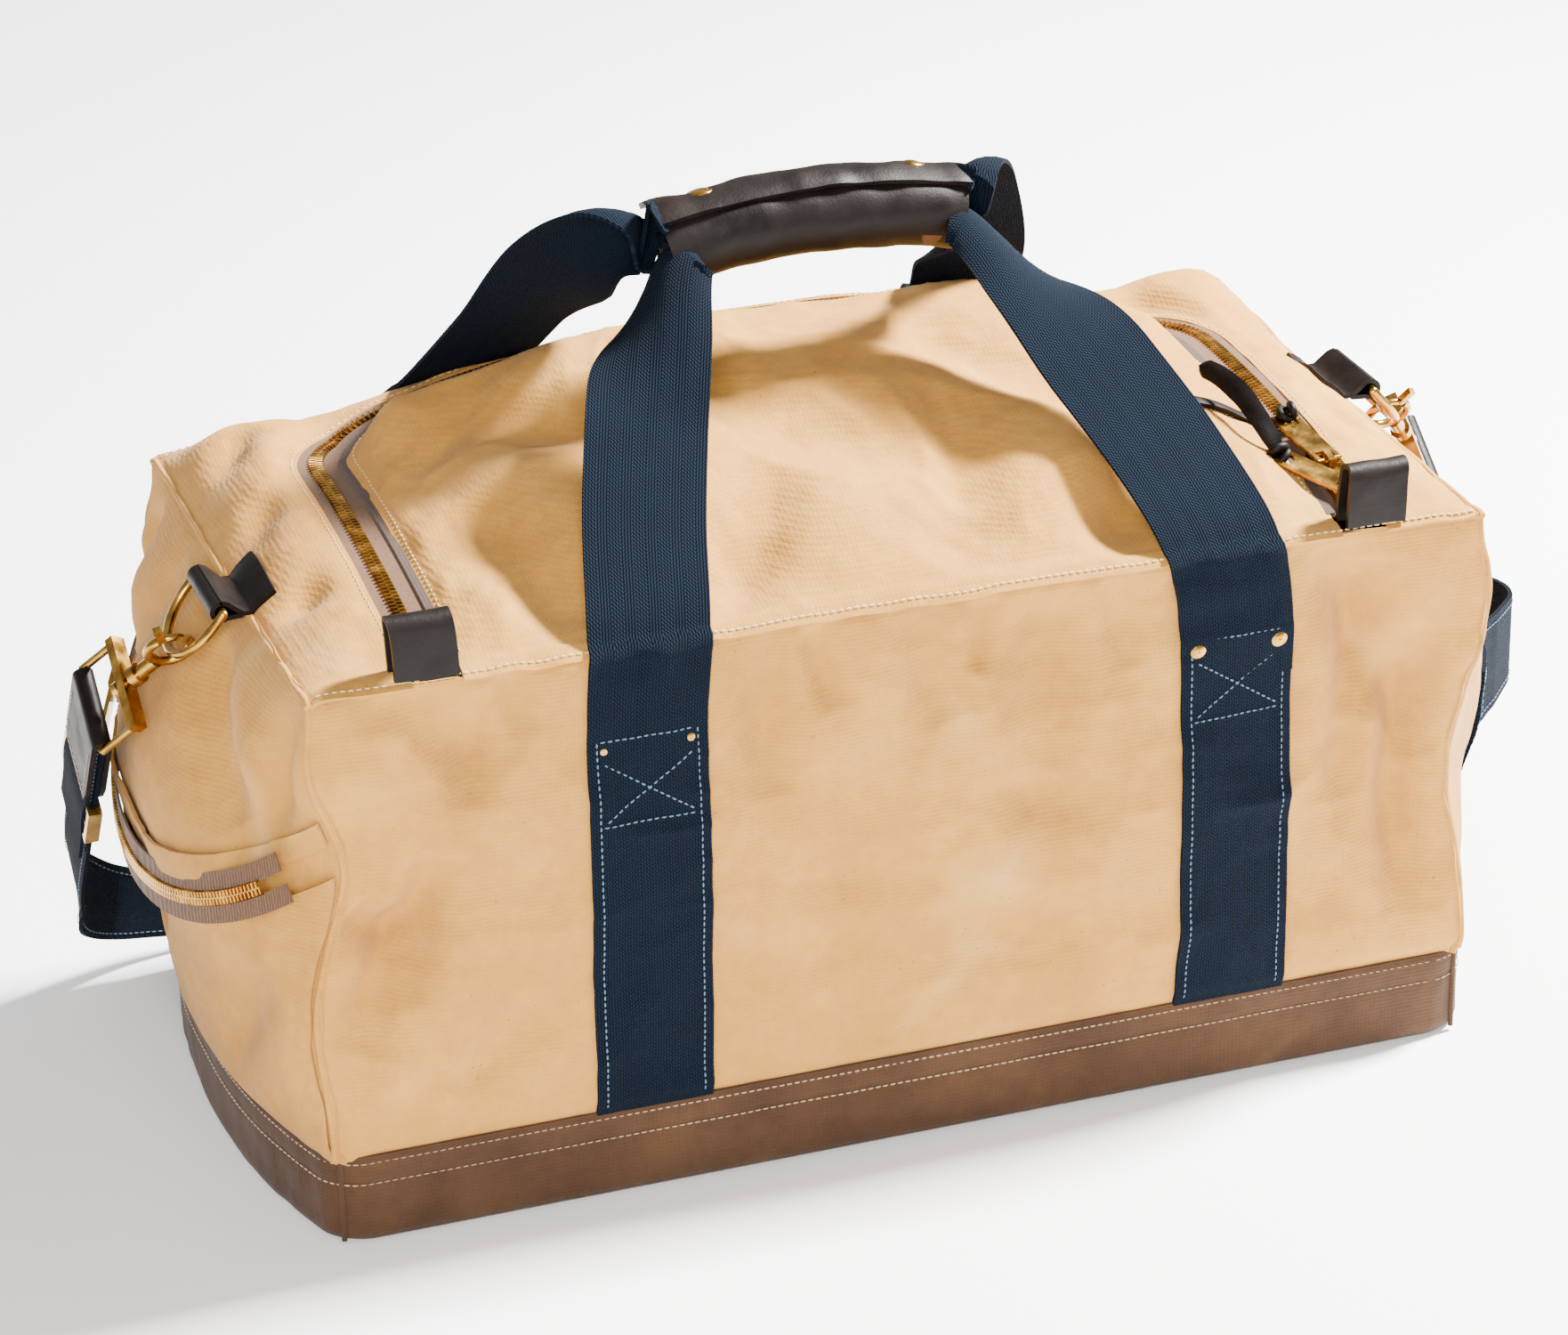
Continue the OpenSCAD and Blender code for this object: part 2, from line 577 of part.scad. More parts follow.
grab_half = 62;
grab_sewn = 24;
module end_grab_handle() color(NAVY) {
    ys = [for (i = [0:24]) mix(-grab_half - grab_sewn, grab_half + grab_sewn, i / 24)];
    off = function(y) abs(y) < grab_half ? grab_off * pow(cos(90 * y / grab_half), 2) : 0;
    lean = function(y) (end_x(y, grab_z + web_w / 2) - end_x(y, grab_z - web_w / 2)) / web_w;
    pts = [for (y = ys) [end_x(y, grab_z) + 2.2 + off(y), y, grab_z]];
    wide = [for (y = ys) mix(web_w, web_w - 12, off(y) / grab_off)];
    swept(strap_rings(pts, [for (y = ys) [1, 0, -lean(y)]], wide, [for (y = ys) 2.2]));
}

// ---- D-rings in their tabs, drawn at the right end about the ring's bar ----

ring_x = half_l + 12;
ring_z = side_h + 3;
ring_half = strap_w / 2 + ring_wire / 2 + 1;
ring_tab_w = 2 * ring_half - ring_wire - 3;
module at_right_ring() translate([ring_x, ring_y, ring_z]) children();
module ring_tab() color(LEATHER) at_right_ring() rotate([90, 0, 0])
    translate([0, 0, -ring_tab_w / 2]) linear_extrude(ring_tab_w) difference() {
        union() {
            circle(r = ring_wire / 2 + 0.5 + leather_t, $fn = 40);
            translate([half_l + 0.5 - ring_x, -leather_t]) square([ring_x - half_l - 0.5, 2 * leather_t]);
        }
        circle(r = ring_wire / 2 + 0.5, $fn = 32);
    }
module ring_tab_right() ring_tab();
module ring_tab_left() half_turn() ring_tab();

// The D: a bar, two short sides and a half circle, all of round wire, hanging along -Z
module d_ring() color(BRASS) {
    side_l = ring_drop - ring_half;
    rotate([90, 0, 0]) cylinder(d = ring_wire, h = 2 * ring_half, center = true, $fn = 24);
    for (s = [-1, 1]) translate([0, s * ring_half, 0]) {
        sphere(d = ring_wire, $fn = 24);
        translate([0, 0, -side_l]) cylinder(d = ring_wire, h = side_l, $fn = 24);
    }
    translate([0, 0, -side_l]) rotate([0, 90, 0]) rotate([0, 0, -90])
        rotate_extrude(angle = 180, $fn = 96) translate([ring_half, 0]) circle(d = ring_wire, $fn = 24);
}
module ring() at_right_ring() rotate([0, -ring_lean, 0]) d_ring();
module ring_right() ring();
module ring_left() half_turn() ring();

// ---- Snap hooks: drawn about the middle of the hook's loop, hanging along -Z ----

hook_r = 9;
hook_wire = 4;
stem_l = 14;
eye_drop = 27;
eye_wire = 3.4;
ring_end = [ring_x + ring_drop * sin(ring_lean), ring_y, ring_z - ring_drop * cos(ring_lean)];
// Both hooks lean to the back of the bag; side is -1 at the left end and 1 at the right end
module at_ring_end(side) translate([side * ring_end[0], side * ring_end[1], ring_end[2]])
    mirror([side < 0 ? 1 : 0, 0, 0]) rotate([hook_lean, 0, 0]) children();
module at_hook(side) at_ring_end(side) rotate([0, -hook_out, 0]) children();
gate_from = 20;
gate_to = 100;
module hook() color(BRASS) {
    rotate([90, 0, 0]) rotate([0, 0, gate_to]) rotate_extrude(angle = 360 - (gate_to - gate_from), $fn = 96)
        translate([hook_r, 0]) circle(d = hook_wire, $fn = 24);
    translate([0, 0, -hook_r - stem_l + 4]) cylinder(d = 6.4, h = stem_l - 4, $fn = 32);
    translate([0, 0, -hook_r - stem_l]) cylinder(d = 9, h = 4, $fn = 36);
    translate([0, 0, -hook_r - stem_l - 10]) cylinder(d = 3.6, h = 11, $fn = 28);
    translate([0, 0, -hook_r - stem_l - 11]) cylinder(d = 7, h = 2.8, $fn = 28);
}
module hook_right() at_hook(1) hook();
module hook_left() at_hook(-1) hook();

// The sprung gate closes the hook's mouth but for a gap, and its lever stands off the loop
gate_foot = gate_from + 5;
gate_tip = gate_to - 16;
module gate() color(BRASS) rotate([90, 0, 0]) {
    rotate([0, 0, gate_foot]) rotate_extrude(angle = gate_tip - gate_foot, $fn = 96)
        translate([hook_r, 0]) circle(d = 3, $fn = 24);
    rotate([0, 0, gate_foot + 8]) translate([hook_r, -1.5, -1.5]) cube([9, 3, 3]);
}
module gate_right() at_hook(1) gate();
module gate_left() at_hook(-1) gate();

// Swivel eye: a flat loop that turns on the hook's post and holds the strap's leather end
eye_half = strap_w / 2 + eye_wire / 2 + 0.5;
eye_top = -hook_r - stem_l - 5.6;
eye_bar = -hook_r - stem_l - eye_drop;
module hook_eye() color(BRASS) {
    difference() {
        translate([-3.4, -eye_half, eye_top - 1.8]) cube([6.8, 2 * eye_half, 4.4]);
        translate([0, 0, eye_top - 5]) cylinder(d = 3.6 + 2 * run_gap, h = 10, $fn = 32);
    }
    for (s = [-1, 1]) translate([0, s * (eye_half - eye_wire / 2), eye_bar])
        cylinder(d = eye_wire, h = eye_top - eye_bar, $fn = 24);
    translate([0, 0, eye_bar]) rotate([90, 0, 0]) cylinder(d = eye_wire, h = 2 * eye_half - eye_wire, center = true, $fn = 24);
}
module hook_eye_right() at_hook(1) hook_eye();
module hook_eye_left() at_hook(-1) hook_eye();

// Leather end: loops round the eye's bar and is sewn over the strap
end_l = 46;
strap_from = [-eye_bar * sin(hook_out), 0, eye_bar * cos(hook_out)];
module strap_end() color(LEATHER) translate(strap_from) rotate([90, 0, 0])
    translate([0, 0, -strap_w / 2 + 1]) linear_extrude(strap_w - 2) difference() {
        union() {
            circle(r = eye_wire / 2 + 0.4 + leather_t, $fn = 36);
            translate([-eye_wire / 2 - 0.4 - leather_t, -end_l]) square([eye_wire + 0.8 + 2 * leather_t, end_l]);
        }
        circle(r = eye_wire / 2 + 0.4, $fn = 28);
        translate([-eye_wire / 2 - 0.4, -end_l - 1]) square([eye_wire + 0.8, end_l + 1]);
    }
module strap_end_right() at_ring_end(1) strap_end();
module strap_end_left() at_ring_end(-1) strap_end();

// ---- Shoulder strap: from the left end, down and round the back on its edge, to the right end ----

// Point on the strap's straight start at one end, s millimetres below the eye's bar
function strap_at(side, s) =
    let (down = s - strap_from[2])
        [side * (ring_end[0] + strap_from[0]), side * ring_end[1] + down * sin(hook_lean),
            ring_end[2] - down * cos(hook_lean)];
strap_t = 1.8;
strap_start = 6;
floor_z = strap_w / 2 + 0.6;
run_y = half_d + 14;
strap_pts = [
    strap_at(-1, strap_start), strap_at(-1, 36), strap_at(-1, 68), strap_at(-1, 98),
    [-half_l - 58, 80, 88], [-half_l - 54, 99, 66], [-half_l - 44, 117, 48], [-half_l - 28, 132, 35],
    [-half_l - 6, 142, 27], [-half_l + 20, run_y + 3, 22], [-half_l + 50, run_y + 4, floor_z + 0.4],
    [-160, run_y + 4, floor_z], [-110, run_y + 2, floor_z], [-60, run_y + 1, floor_z], [-10, run_y + 2, floor_z],
    [40, run_y + 4, floor_z], [90, run_y + 3, floor_z], [140, run_y + 2, floor_z], [180, run_y + 4, floor_z],
    [half_l - 38, run_y + 5, floor_z + 1], [half_l - 10, run_y + 4, 23.5], [half_l + 16, 142, 31],
    [half_l + 36, 132, 44], [half_l + 49, 120, 63], [half_l + 56, 107, 86], [half_l + 58.5, 96, 108],
    strap_at(1, 76), strap_at(1, 50), strap_at(1, 26), strap_at(1, strap_start)
];
// The direction in which the strap's outer face looks turns round the two back corners
function strap_face(p) =
    let (a = 90 * min(1, max(0, (half_d + 10 - p[1]) / 45)), side = sign(p[0])) [side * sin(a), cos(a), 0];
module strap_webbing() color(NAVY)
    swept(strap_rings(strap_pts, [for (p = strap_pts) strap_face(p)], [for (p = strap_pts) strap_w - 4],
        [for (p = strap_pts) strap_t]));

// Sliding adjuster: a flat frame round the strap with a middle bar on its outer side
adjuster_s = 62;
module strap_adjuster() color(BRASS)
    translate(strap_at(-1, adjuster_s)) rotate([hook_lean, 0, 0]) {
        wide = strap_w + 6;
        tall = 24;
        side = 3;
        for (s = [-1, 1]) {
            translate([-3, s * (wide - side) / 2 - side / 2, -tall / 2]) cube([6, side, tall]);
            for (f = [-1, 1])
                translate([f * 2.1 - 0.9, -wide / 2, s * (tall - side) / 2 - side / 2]) cube([1.8, wide, side]);
        }
        translate([-3, -wide / 2, -side / 2]) cube([1.8, wide, side]);
    }

base_tub();
base_board();
front_panel();
back_panel();
left_end_panel();
right_end_panel();
top_panel();
top_front_panel();
front_zip_tape();
front_zip_teeth();
body_zip_tape();
body_zip_teeth();
zip_tab_left();
zip_tab_right();
front_band_left();
front_band_right();
back_band_left();
back_band_right();
front_rivets();
back_rivets();
end_pocket_panel();
pocket_zip_tape();
pocket_zip_teeth();
end_grab_handle();
ring_tab_left();
ring_tab_right();
hook_eye_left();
hook_eye_right();
strap_end_left();
strap_end_right();
strap_webbing();
lid_flap();
lid_zip_tape();
lid_zip_teeth();
front_handle_root();
back_handle_root();
front_handle();
back_handle();
handle_wrap();
snap_studs();
wrap_flap();
snap_caps();
zip_slider_a();
zip_slider_b();
zip_pull_a();
zip_pull_b();
thong_a();
thong_b();
pocket_slider();
pocket_pull();
ring_left();
ring_right();
hook_left();
hook_right();
gate_left();
gate_right();
strap_adjuster();
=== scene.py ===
"""Looks of the waxed-canvas duffel bag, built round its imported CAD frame. Lengths are in metres."""

import json
import math

import bmesh
import bpy
import numpy as np
from mathutils import Matrix, Vector


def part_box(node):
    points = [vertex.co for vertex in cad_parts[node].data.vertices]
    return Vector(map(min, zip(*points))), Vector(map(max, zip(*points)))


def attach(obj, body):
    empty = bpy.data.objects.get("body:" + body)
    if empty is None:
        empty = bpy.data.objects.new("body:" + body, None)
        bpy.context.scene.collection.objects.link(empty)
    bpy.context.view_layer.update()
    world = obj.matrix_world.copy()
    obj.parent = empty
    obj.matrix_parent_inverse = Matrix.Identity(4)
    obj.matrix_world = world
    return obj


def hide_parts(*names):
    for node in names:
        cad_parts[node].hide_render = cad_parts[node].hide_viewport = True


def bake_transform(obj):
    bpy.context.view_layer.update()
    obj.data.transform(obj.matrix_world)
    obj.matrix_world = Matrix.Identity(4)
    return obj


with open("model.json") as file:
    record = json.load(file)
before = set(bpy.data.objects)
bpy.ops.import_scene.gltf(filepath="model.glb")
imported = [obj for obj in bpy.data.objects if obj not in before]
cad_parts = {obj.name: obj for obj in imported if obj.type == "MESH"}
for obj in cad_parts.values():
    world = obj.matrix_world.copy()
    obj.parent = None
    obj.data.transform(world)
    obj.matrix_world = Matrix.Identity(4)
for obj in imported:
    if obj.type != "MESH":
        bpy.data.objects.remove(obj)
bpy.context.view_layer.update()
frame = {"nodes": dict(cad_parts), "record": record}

MM = 0.001

# ---- Sizes read from the frame ----

front_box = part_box("front_panel")
end_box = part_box("right_end_panel")
tub_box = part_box("base_tub")
root_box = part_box("front_handle_root")
wrap_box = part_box("handle_wrap")
teeth_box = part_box("body_zip_teeth")
tape_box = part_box("body_zip_tape")

HALF_L = front_box[1].x
HALF_D = -front_box[0].y
BASE_H = tub_box[1].z
SIDE_H = front_box[1].z + 2.3 * MM
END_BULGE = end_box[1].x - HALF_L
TEETH_W = 3.4 * MM
BODY_EDGE = 7.5 * MM
LID_EDGE = 12.5 * MM
ZIP_X = tape_box[1].x - BODY_EDGE
ZIP_BACK = tape_box[1].y - BODY_EDGE
ZIP_R = 40 * MM
LEG_RISE = 22 * MM
CROWN = 52 * MM
CREST_Y = 39 * MM
BAND_TOP = root_box[0].z - 1.3 * MM
LEAN_H = root_box[1].z + 2.4 * MM
WEB_W = 50 * MM
WEB_T = 1.8 * MM
CLEAR = 0.2 * MM
FOOT_Z = BAND_TOP - 24 * MM
GRIP_X = (wrap_box[0].x + wrap_box[1].x) / 2
GRIP_Z = 366 * MM
ARCH_R = 290 * MM
WRAP_HALF = (wrap_box[1].x - wrap_box[0].x) / 2
CANVAS_T = 2 * MM
STRAP_LEATHER_T = 2.2 * MM


# ---- Numbers ----

def mix(a, b, t):
    return a + (b - a) * t


def smooth(a, b, x):
    t = np.clip((np.asarray(x, float) - a) / (b - a), 0, 1)
    return t * t * (3 - 2 * t)


def unit(v):
    v = np.asarray(v, float)
    return v / np.maximum(np.linalg.norm(v, axis=-1, keepdims=True), 1e-12)


def run_along(path):
    """Length along a path up to each of its points."""
    return np.r_[0, np.cumsum(np.linalg.norm(np.diff(path, axis=0), axis=-1))]


def rolled(gap, turn=5 * MM):
    """How far cloth falls back within that distance of an edge it rolls over."""
    share = np.clip(1 - gap / turn, 0, 1)
    return turn * (1 - np.sqrt(np.maximum(1 - (0.7 * share) ** 2, 0)))


def tucked(z):
    """How far the cloth goes in where it meets the base."""
    return 2.2 * MM * (1 - smooth(BASE_H - 1 * MM, BASE_H + 7 * MM, z))


def grid_uv(u, v):
    return np.stack(np.meshgrid(u, v, indexing="ij"), -1)


def lattice(i, j, k, seed):
    h = (i * 73856093) ^ (j * 19349663) ^ (k * 83492791) ^ (seed * 2654435761)
    h = (h ^ (h >> 13)) * 1274126177
    h = h ^ (h >> 16)
    return (h & 0xFFFF) / 32767.5 - 1


def noise(p, size, seed=0):
    """Smooth noise from -1 to 1 at points p, with lumps of that size."""
    q = np.asarray(p, float) / size + 1000
    c = np.floor(q).astype(np.int64)
    f = q - c
    f = f * f * f * (f * (f * 6 - 15) + 10)
    total = 0
    for a in (0, 1):
        for b in (0, 1):
            for d in (0, 1):
                w = (f[..., 0] if a else 1 - f[..., 0]) * (f[..., 1] if b else 1 - f[..., 1])
                w = w * (f[..., 2] if d else 1 - f[..., 2])
                total = total + w * lattice(c[..., 0] + a, c[..., 1] + b, c[..., 2] + d, seed)
    return total


def crumple(p, seed=0):
    """Height of waxed cloth's soft dents and sharper folds, about 1 at the most."""
    warp = np.stack([noise(p, 0.05, seed + k) for k in (1, 2, 3)], -1) * 0.018
    folds = 1 - 2.2 * np.abs(noise(p + warp, 0.055, seed + 4))
    fine = 1 - 2 * np.abs(noise(p + warp * 1.6, 0.021, seed + 5))
    return 0.5 * noise(p, 0.1, seed + 6) + 0.34 * folds + 0.12 * fine + 0.05 * noise(p, 0.008, seed + 7)


def crease(p, a, b, width, depth):
    """A valley from a to b that fades at both ends, on points p with two coordinates. Its numbers are millimetres."""
    a, b = np.array(a) * MM, np.array(b) * MM
    d = b - a
    t = np.clip(((p - a) @ d) / (d @ d), 0, 1)
    off = np.linalg.norm(p - (a + t[..., None] * d), axis=-1)
    return -depth * MM * np.exp(-((off / (width * MM)) ** 2)) * np.sin(math.pi * np.clip(t, 0.02, 0.98)) ** 0.6


# ---- Shape of the bag ----

arc_r = ((HALF_D + CREST_Y) ** 2 + LEG_RISE**2) / (2 * LEG_RISE)
arc_z = SIDE_H + LEG_RISE - arc_r
flat_in = ZIP_X - LID_EDGE - 2 * MM
flat_out = ZIP_X + BODY_EDGE + 6 * MM
back_flat = ZIP_BACK + BODY_EDGE


def leg_z(y):
    return arc_z + np.sqrt(arc_r**2 - (y - CREST_Y) ** 2)


def top_z(x, y):
    x, y = np.broadcast_arrays(np.asarray(x, float), np.asarray(y, float))
    tail = (leg_z(back_flat) - SIDE_H) * np.cos(np.pi / 2 * np.clip((y - back_flat) / (HALF_D - back_flat), 0, 1))
    rise = np.where(y <= back_flat, leg_z(np.minimum(y, back_flat)) - SIDE_H, tail)
    inner = 1 + (CROWN / LEG_RISE - 1) * (1 - np.minimum(np.abs(x) / flat_in, 1) ** 2.5)
    outer = np.cos(np.pi / 2 * np.clip((np.abs(x) - flat_out) / (HALF_L - flat_out), 0, 1))
    return SIDE_H + rise * np.where(np.abs(x) < flat_in, inner, outer)


def end_x(y, z):
    fill = np.sin(np.pi * (0.15 + 0.85 * (np.clip(z, 0, SIDE_H) / SIDE_H) ** 2))
    return HALF_L + END_BULGE * (1 - np.minimum(1, np.abs(y) / HALF_D) ** 2.2) * fill


def near_zip(x, y):
    """Distance from the line of the main zip."""
    x, y = np.abs(x), np.asarray(y, float)
    corner_x, corner_y = ZIP_X - ZIP_R, ZIP_BACK - ZIP_R
    d = np.abs(np.hypot(np.maximum(x - corner_x, 0), np.maximum(y - corner_y, 0)) - ZIP_R)
    return np.where((x < corner_x) & (y < corner_y), np.minimum(ZIP_X - x, ZIP_BACK - y), d)


# Slack in the upright corners: side, end, height, spread, and how far it moves in along X and along Y
CORNER_SLACK = [
    (-1, -1, 0.168, 0.03, 0.011, 0.003), (-1, -1, 0.1, 0.03, -0.004, 0.001), (-1, -1, 0.215, 0.02, -0.003, -0.002),
    (1, -1, 0.205, 0.028, -0.007, 0.002), (1, -1, 0.125, 0.04, 0.009, 0.004), (-1, 1, 0.15, 0.04, 0.006, 0.004),
    (-1, 1, 0.21, 0.02, -0.005, -0.003), (1, 1, 0.15, 0.04, 0.008, 0.004), (1, 1, 0.21, 0.025, -0.004, -0.002),
]


def slacken(p):
    """Moves points near the upright corners with the cloth's slack, so that every seam there stays shut."""
    for sx, sy, z0, spread, in_x, in_y in CORNER_SLACK:
        near = np.exp(-(((HALF_L - sx * p[..., 0]) / 0.04) ** 2) - ((HALF_D - sy * p[..., 1]) / 0.045) ** 2)
        near = near * np.exp(-(((p[..., 2] - z0) / spread) ** 2)) * smooth(BASE_H, BASE_H + 25 * MM, p[..., 2])
        near = near * (1 - smooth(SIDE_H - 25 * MM, SIDE_H - 2 * MM, p[..., 2]))
        p = p - np.stack([sx * in_x * near, sy * in_y * near, 0 * near], -1)
    return p


# Valleys on the lid and its frame, in millimetres: from, to, width and depth
TOP_CREASES = [
    ((-135, -118), (-160, -30), 16, 5), ((-90, -128), (-30, -60), 17, 6),
    ((20, -120), (60, -30), 20, 5), ((85, -125), (130, -60), 18, 6),
    ((150, -110), (100, 0), 22, 5), ((-30, 20), (70, 50), 20, 3),
    ((140, 10), (160, 60), 14, 3), ((-170, 0), (-120, 50), 14, 3),
    ((-245, -60), (-213, -50), 8, 4), ((-246, 0), (-215, 30), 10, 4),
    ((245, -50), (213, -20), 9, 4), ((245, 30), (213, 50), 10, 4),
    ((-130, 128), (-110, 90), 9, 3), ((120, 128), (100, 90), 9, 3),
    ((-60, -20), (30, -70), 20, 4), ((40, 20), (110, -40), 18, 4),
    ((-150, 30), (-90, -30), 16, 3), ((-240, 60), (-215, 100), 10, 4),
]


def top_lift(x, y):
    """How far the loose cloth of the top stands off its plain shape."""
    p2 = np.stack([x, y], -1)
    p3 = np.stack([x, y, 0 * x + SIDE_H], -1)
    still = smooth(0.012, 0.035, near_zip(x, y))
    rim = smooth(0.0, 0.03, np.minimum(HALF_L - np.abs(x), HALF_D - np.abs(y)))
    folds = sum(crease(p2, *c) for c in TOP_CREASES)
    pucker = 0.0013 * noise(p3 * [1, 0.25, 1], 0.012, 40) * np.exp(-(HALF_D - np.abs(y)) / 0.014)
    pucker = pucker + 0.0013 * noise(p3 * [0.25, 1, 1], 0.012, 41) * np.exp(-(HALF_L - np.abs(x)) / 0.014)
    tight = 0.0011 * noise(p3, 0.011, 42) * np.exp(-((near_zip(x, y) - 0.018) / 0.01) ** 2)
    lap = 0.9 * MM * (1 - smooth(8.6 * MM, 9.6 * MM, HALF_D + y))
    loose = still * (0.0062 * crumple(p3, 30) * rim + 2.2 * folds * (0.3 + 0.7 * rim)) + pucker * still + tight * rim
    return loose + lap + pillow(x, y) + frame_swell(x, y)


def on_lid(x, y):
    """1 inside the line of the zip, and 0 outside it."""
    corner = (np.abs(x) > ZIP_X - ZIP_R) & (y > ZIP_BACK - ZIP_R)
    round_in = np.hypot(np.abs(x) - ZIP_X + ZIP_R, y - ZIP_BACK + ZIP_R) < ZIP_R
    return np.where(corner, round_in, (np.abs(x) < ZIP_X) & (y < ZIP_BACK)).astype(float)


def pillow(x, y):
    """The full lid stands over the zip and swells between its legs."""
    inside = on_lid(x, y) * smooth(5 * MM, 60 * MM, HALF_D + y)
    gap = near_zip(x, y)
    back = smooth(-20 * MM, 55 * MM, y)
    lip = mix(3 * MM, 13 * MM, back) * smooth(LID_EDGE - 1 * MM, LID_EDGE + mix(9 * MM, 17 * MM, back), gap)
    return inside * (lip * mix(1, 0.75, smooth(0.1, 0.18, x)) + 6 * MM * smooth(14 * MM, 70 * MM, gap))


def frame_swell(x, y):
    """Fullness of the cloth behind and beside the zip."""
    outside = 1 - on_lid(x, y)
    right = 12 * MM * np.exp(-(((x - 0.215) / 0.035) ** 2) - ((y - 0.098) / 0.03) ** 2)
    left = 6 * MM * np.exp(-(((x + 0.225) / 0.028) ** 2) - ((y - 0.085) / 0.05) ** 2)
    return outside * (right + left) * smooth(BODY_EDGE + 2 * MM, BODY_EDGE + 14 * MM, near_zip(x, y))


def top_point(x, y):
    """A point on the finished top, with its edges rounded over the side panels."""
    x, y = np.broadcast_arrays(np.asarray(x, float), np.asarray(y, float))
    z = top_z(x, y) + top_lift(x, y) - rolled(HALF_D - np.abs(y)) - rolled(HALF_L - np.abs(x))
    return np.stack([x, y, z], -1)


# Valleys on the front and back panels, from X and Z to X and Z
FRONT_CREASES = [
    ((-236, 85), (-205, 175), 11, 6), ((-246, 150), (-215, 130), 9, 5),
    ((-70, 240), (-60, 170), 11, 3.5), ((0, 243), (15, 190), 12, 3),
    ((60, 243), (50, 160), 14, 3), ((200, 235), (190, 120), 12, 5),
    ((226, 200), (222, 60), 11, 5), ((-180, 240), (-190, 190), 10, 3),
    ((-80, 100), (90, 85), 16, 1.8), ((-200, 60), (-160, 100), 12, 3),
    ((176, 242), (238, 130), 12, 5), ((-225, 245), (-170, 200), 12, 3),
    ((20, 160), (90, 140), 14, 2.2), ((-60, 130), (20, 120), 13, 2),
    ((-45, 244), (-35, 205), 7, 3), ((30, 244), (26, 210), 7, 2.6),
    ((85, 244), (92, 200), 8, 3), ((-170, 244), (-165, 215), 7, 2.6),
]


def side_point(x, z, side):
    """A point on the front (side -1) or back (side 1) panel."""
    x, z = np.broadcast_arrays(np.asarray(x, float), np.asarray(z, float))
    xs = x if side < 0 else -x
    p3 = np.stack([x, 0 * x + side * HALF_D, z], -1)
    edge = smooth(0, 0.03, HALF_L - np.abs(x)) * smooth(0, 0.03, z - BASE_H) * smooth(0, 0.02, SIDE_H - z)
    belly = np.sin(np.pi * np.clip((z - BASE_H) / (SIDE_H - BASE_H), 0, 1))
    belly = 0.0035 * belly * np.cos(np.pi / 2 * x / HALF_L)
    folds = sum(crease(np.stack([xs, z], -1), *c) for c in FRONT_CREASES)
    pucker = 0.0015 * noise(p3 * [1, 1, 0.22], 0.012, 50) * np.exp(-(SIDE_H - z) / 0.02)
    above_base = np.exp(-(((z - BASE_H - 0.018) / 0.012) ** 2))
    pucker = pucker * 1.3 + 0.0012 * noise(p3 * [1, 1, 0.3], 0.01, 51) * above_base
    pucker = pucker + 0.0016 * noise(p3 * [0.25, 1, 1], 0.014, 52) * np.exp(-(HALF_L - np.abs(x)) / 0.02)
    bulge = belly + edge * 0.006 * crumple(p3, 60) + 2.6 * folds * smooth(0, 0.03, z - BASE_H) + pucker
    bulge = (bulge - tucked(z)) * np.clip((SIDE_H - z) / (5 * MM), 0, 1)
    y = HALF_D + bulge - rolled(SIDE_H - z) - rolled(HALF_L - np.abs(x))
    return slacken(np.stack([x, side * y, z], -1))


# The end pocket's zip is an arc through its two ends and its lowest point
POCKET_HALF = 118 * MM
POCKET_END_H, POCKET_LOW_H, POCKET_STANDOFF = 165 * MM, 127 * MM, 7 * MM
POCKET_END = np.array([-end_x(POCKET_HALF, POCKET_END_H), 0, POCKET_END_H])
POCKET_MID = np.array([-end_x(0, POCKET_LOW_H), 0, POCKET_LOW_H])
POCKET_DIR = unit(POCKET_MID - POCKET_END)
pocket_sag = np.linalg.norm(POCKET_MID - POCKET_END)
POCKET_R = (POCKET_HALF**2 + pocket_sag**2) / (2 * pocket_sag)
POCKET_C = POCKET_MID - POCKET_DIR * POCKET_R - np.array([POCKET_STANDOFF, 0, 0])
POCKET_AXIS = np.array([POCKET_DIR[2], 0, -POCKET_DIR[0]])
POCKET_SPAN = math.asin((POCKET_HALF - 6 * MM) / POCKET_R)
TAPE_SPAN = math.asin((POCKET_HALF + 4 * MM) / POCKET_R)


def pocket_arc(y):
    """The zip line's point at depth y."""
    reach = np.sqrt(np.maximum(POCKET_R**2 - y**2, 0))
    return POCKET_C[0] + POCKET_DIR[0] * reach, POCKET_C[2] + POCKET_DIR[2] * reach


def pocket_swell(y, z):
    """The full pocket lifts the cloth of the left end out to its zip."""
    arc_x, arc_height = pocket_arc(y)
    gap = -arc_x - end_x(y, arc_height) - 5.8 * MM
    ends = smooth(HALF_D - 2 * MM, HALF_D - 22 * MM, np.abs(y))
    reach = np.where(z > arc_height, 30 * MM, 48 * MM)
    return np.maximum(gap, 0) * ends * np.exp(-(((z - arc_height) / reach) ** 2))


# Valleys on the end panels, from Y and Z to Y and Z, with Y turned round on the right end
END_CREASES = [
    ((-30, 235), (-90, 175), 12, 9), ((30, 235), (85, 170), 13, 7),
    ((-115, 235), (-100, 175), 9, 6), ((100, 240), (116, 150), 10, 6),
    ((-60, 60), (-110, 120), 13, 5), ((30, 55), (100, 110), 14, 5),
    ((-20, 100), (50, 85), 14, 3), ((60, 200), (20, 165), 12, 4),
]


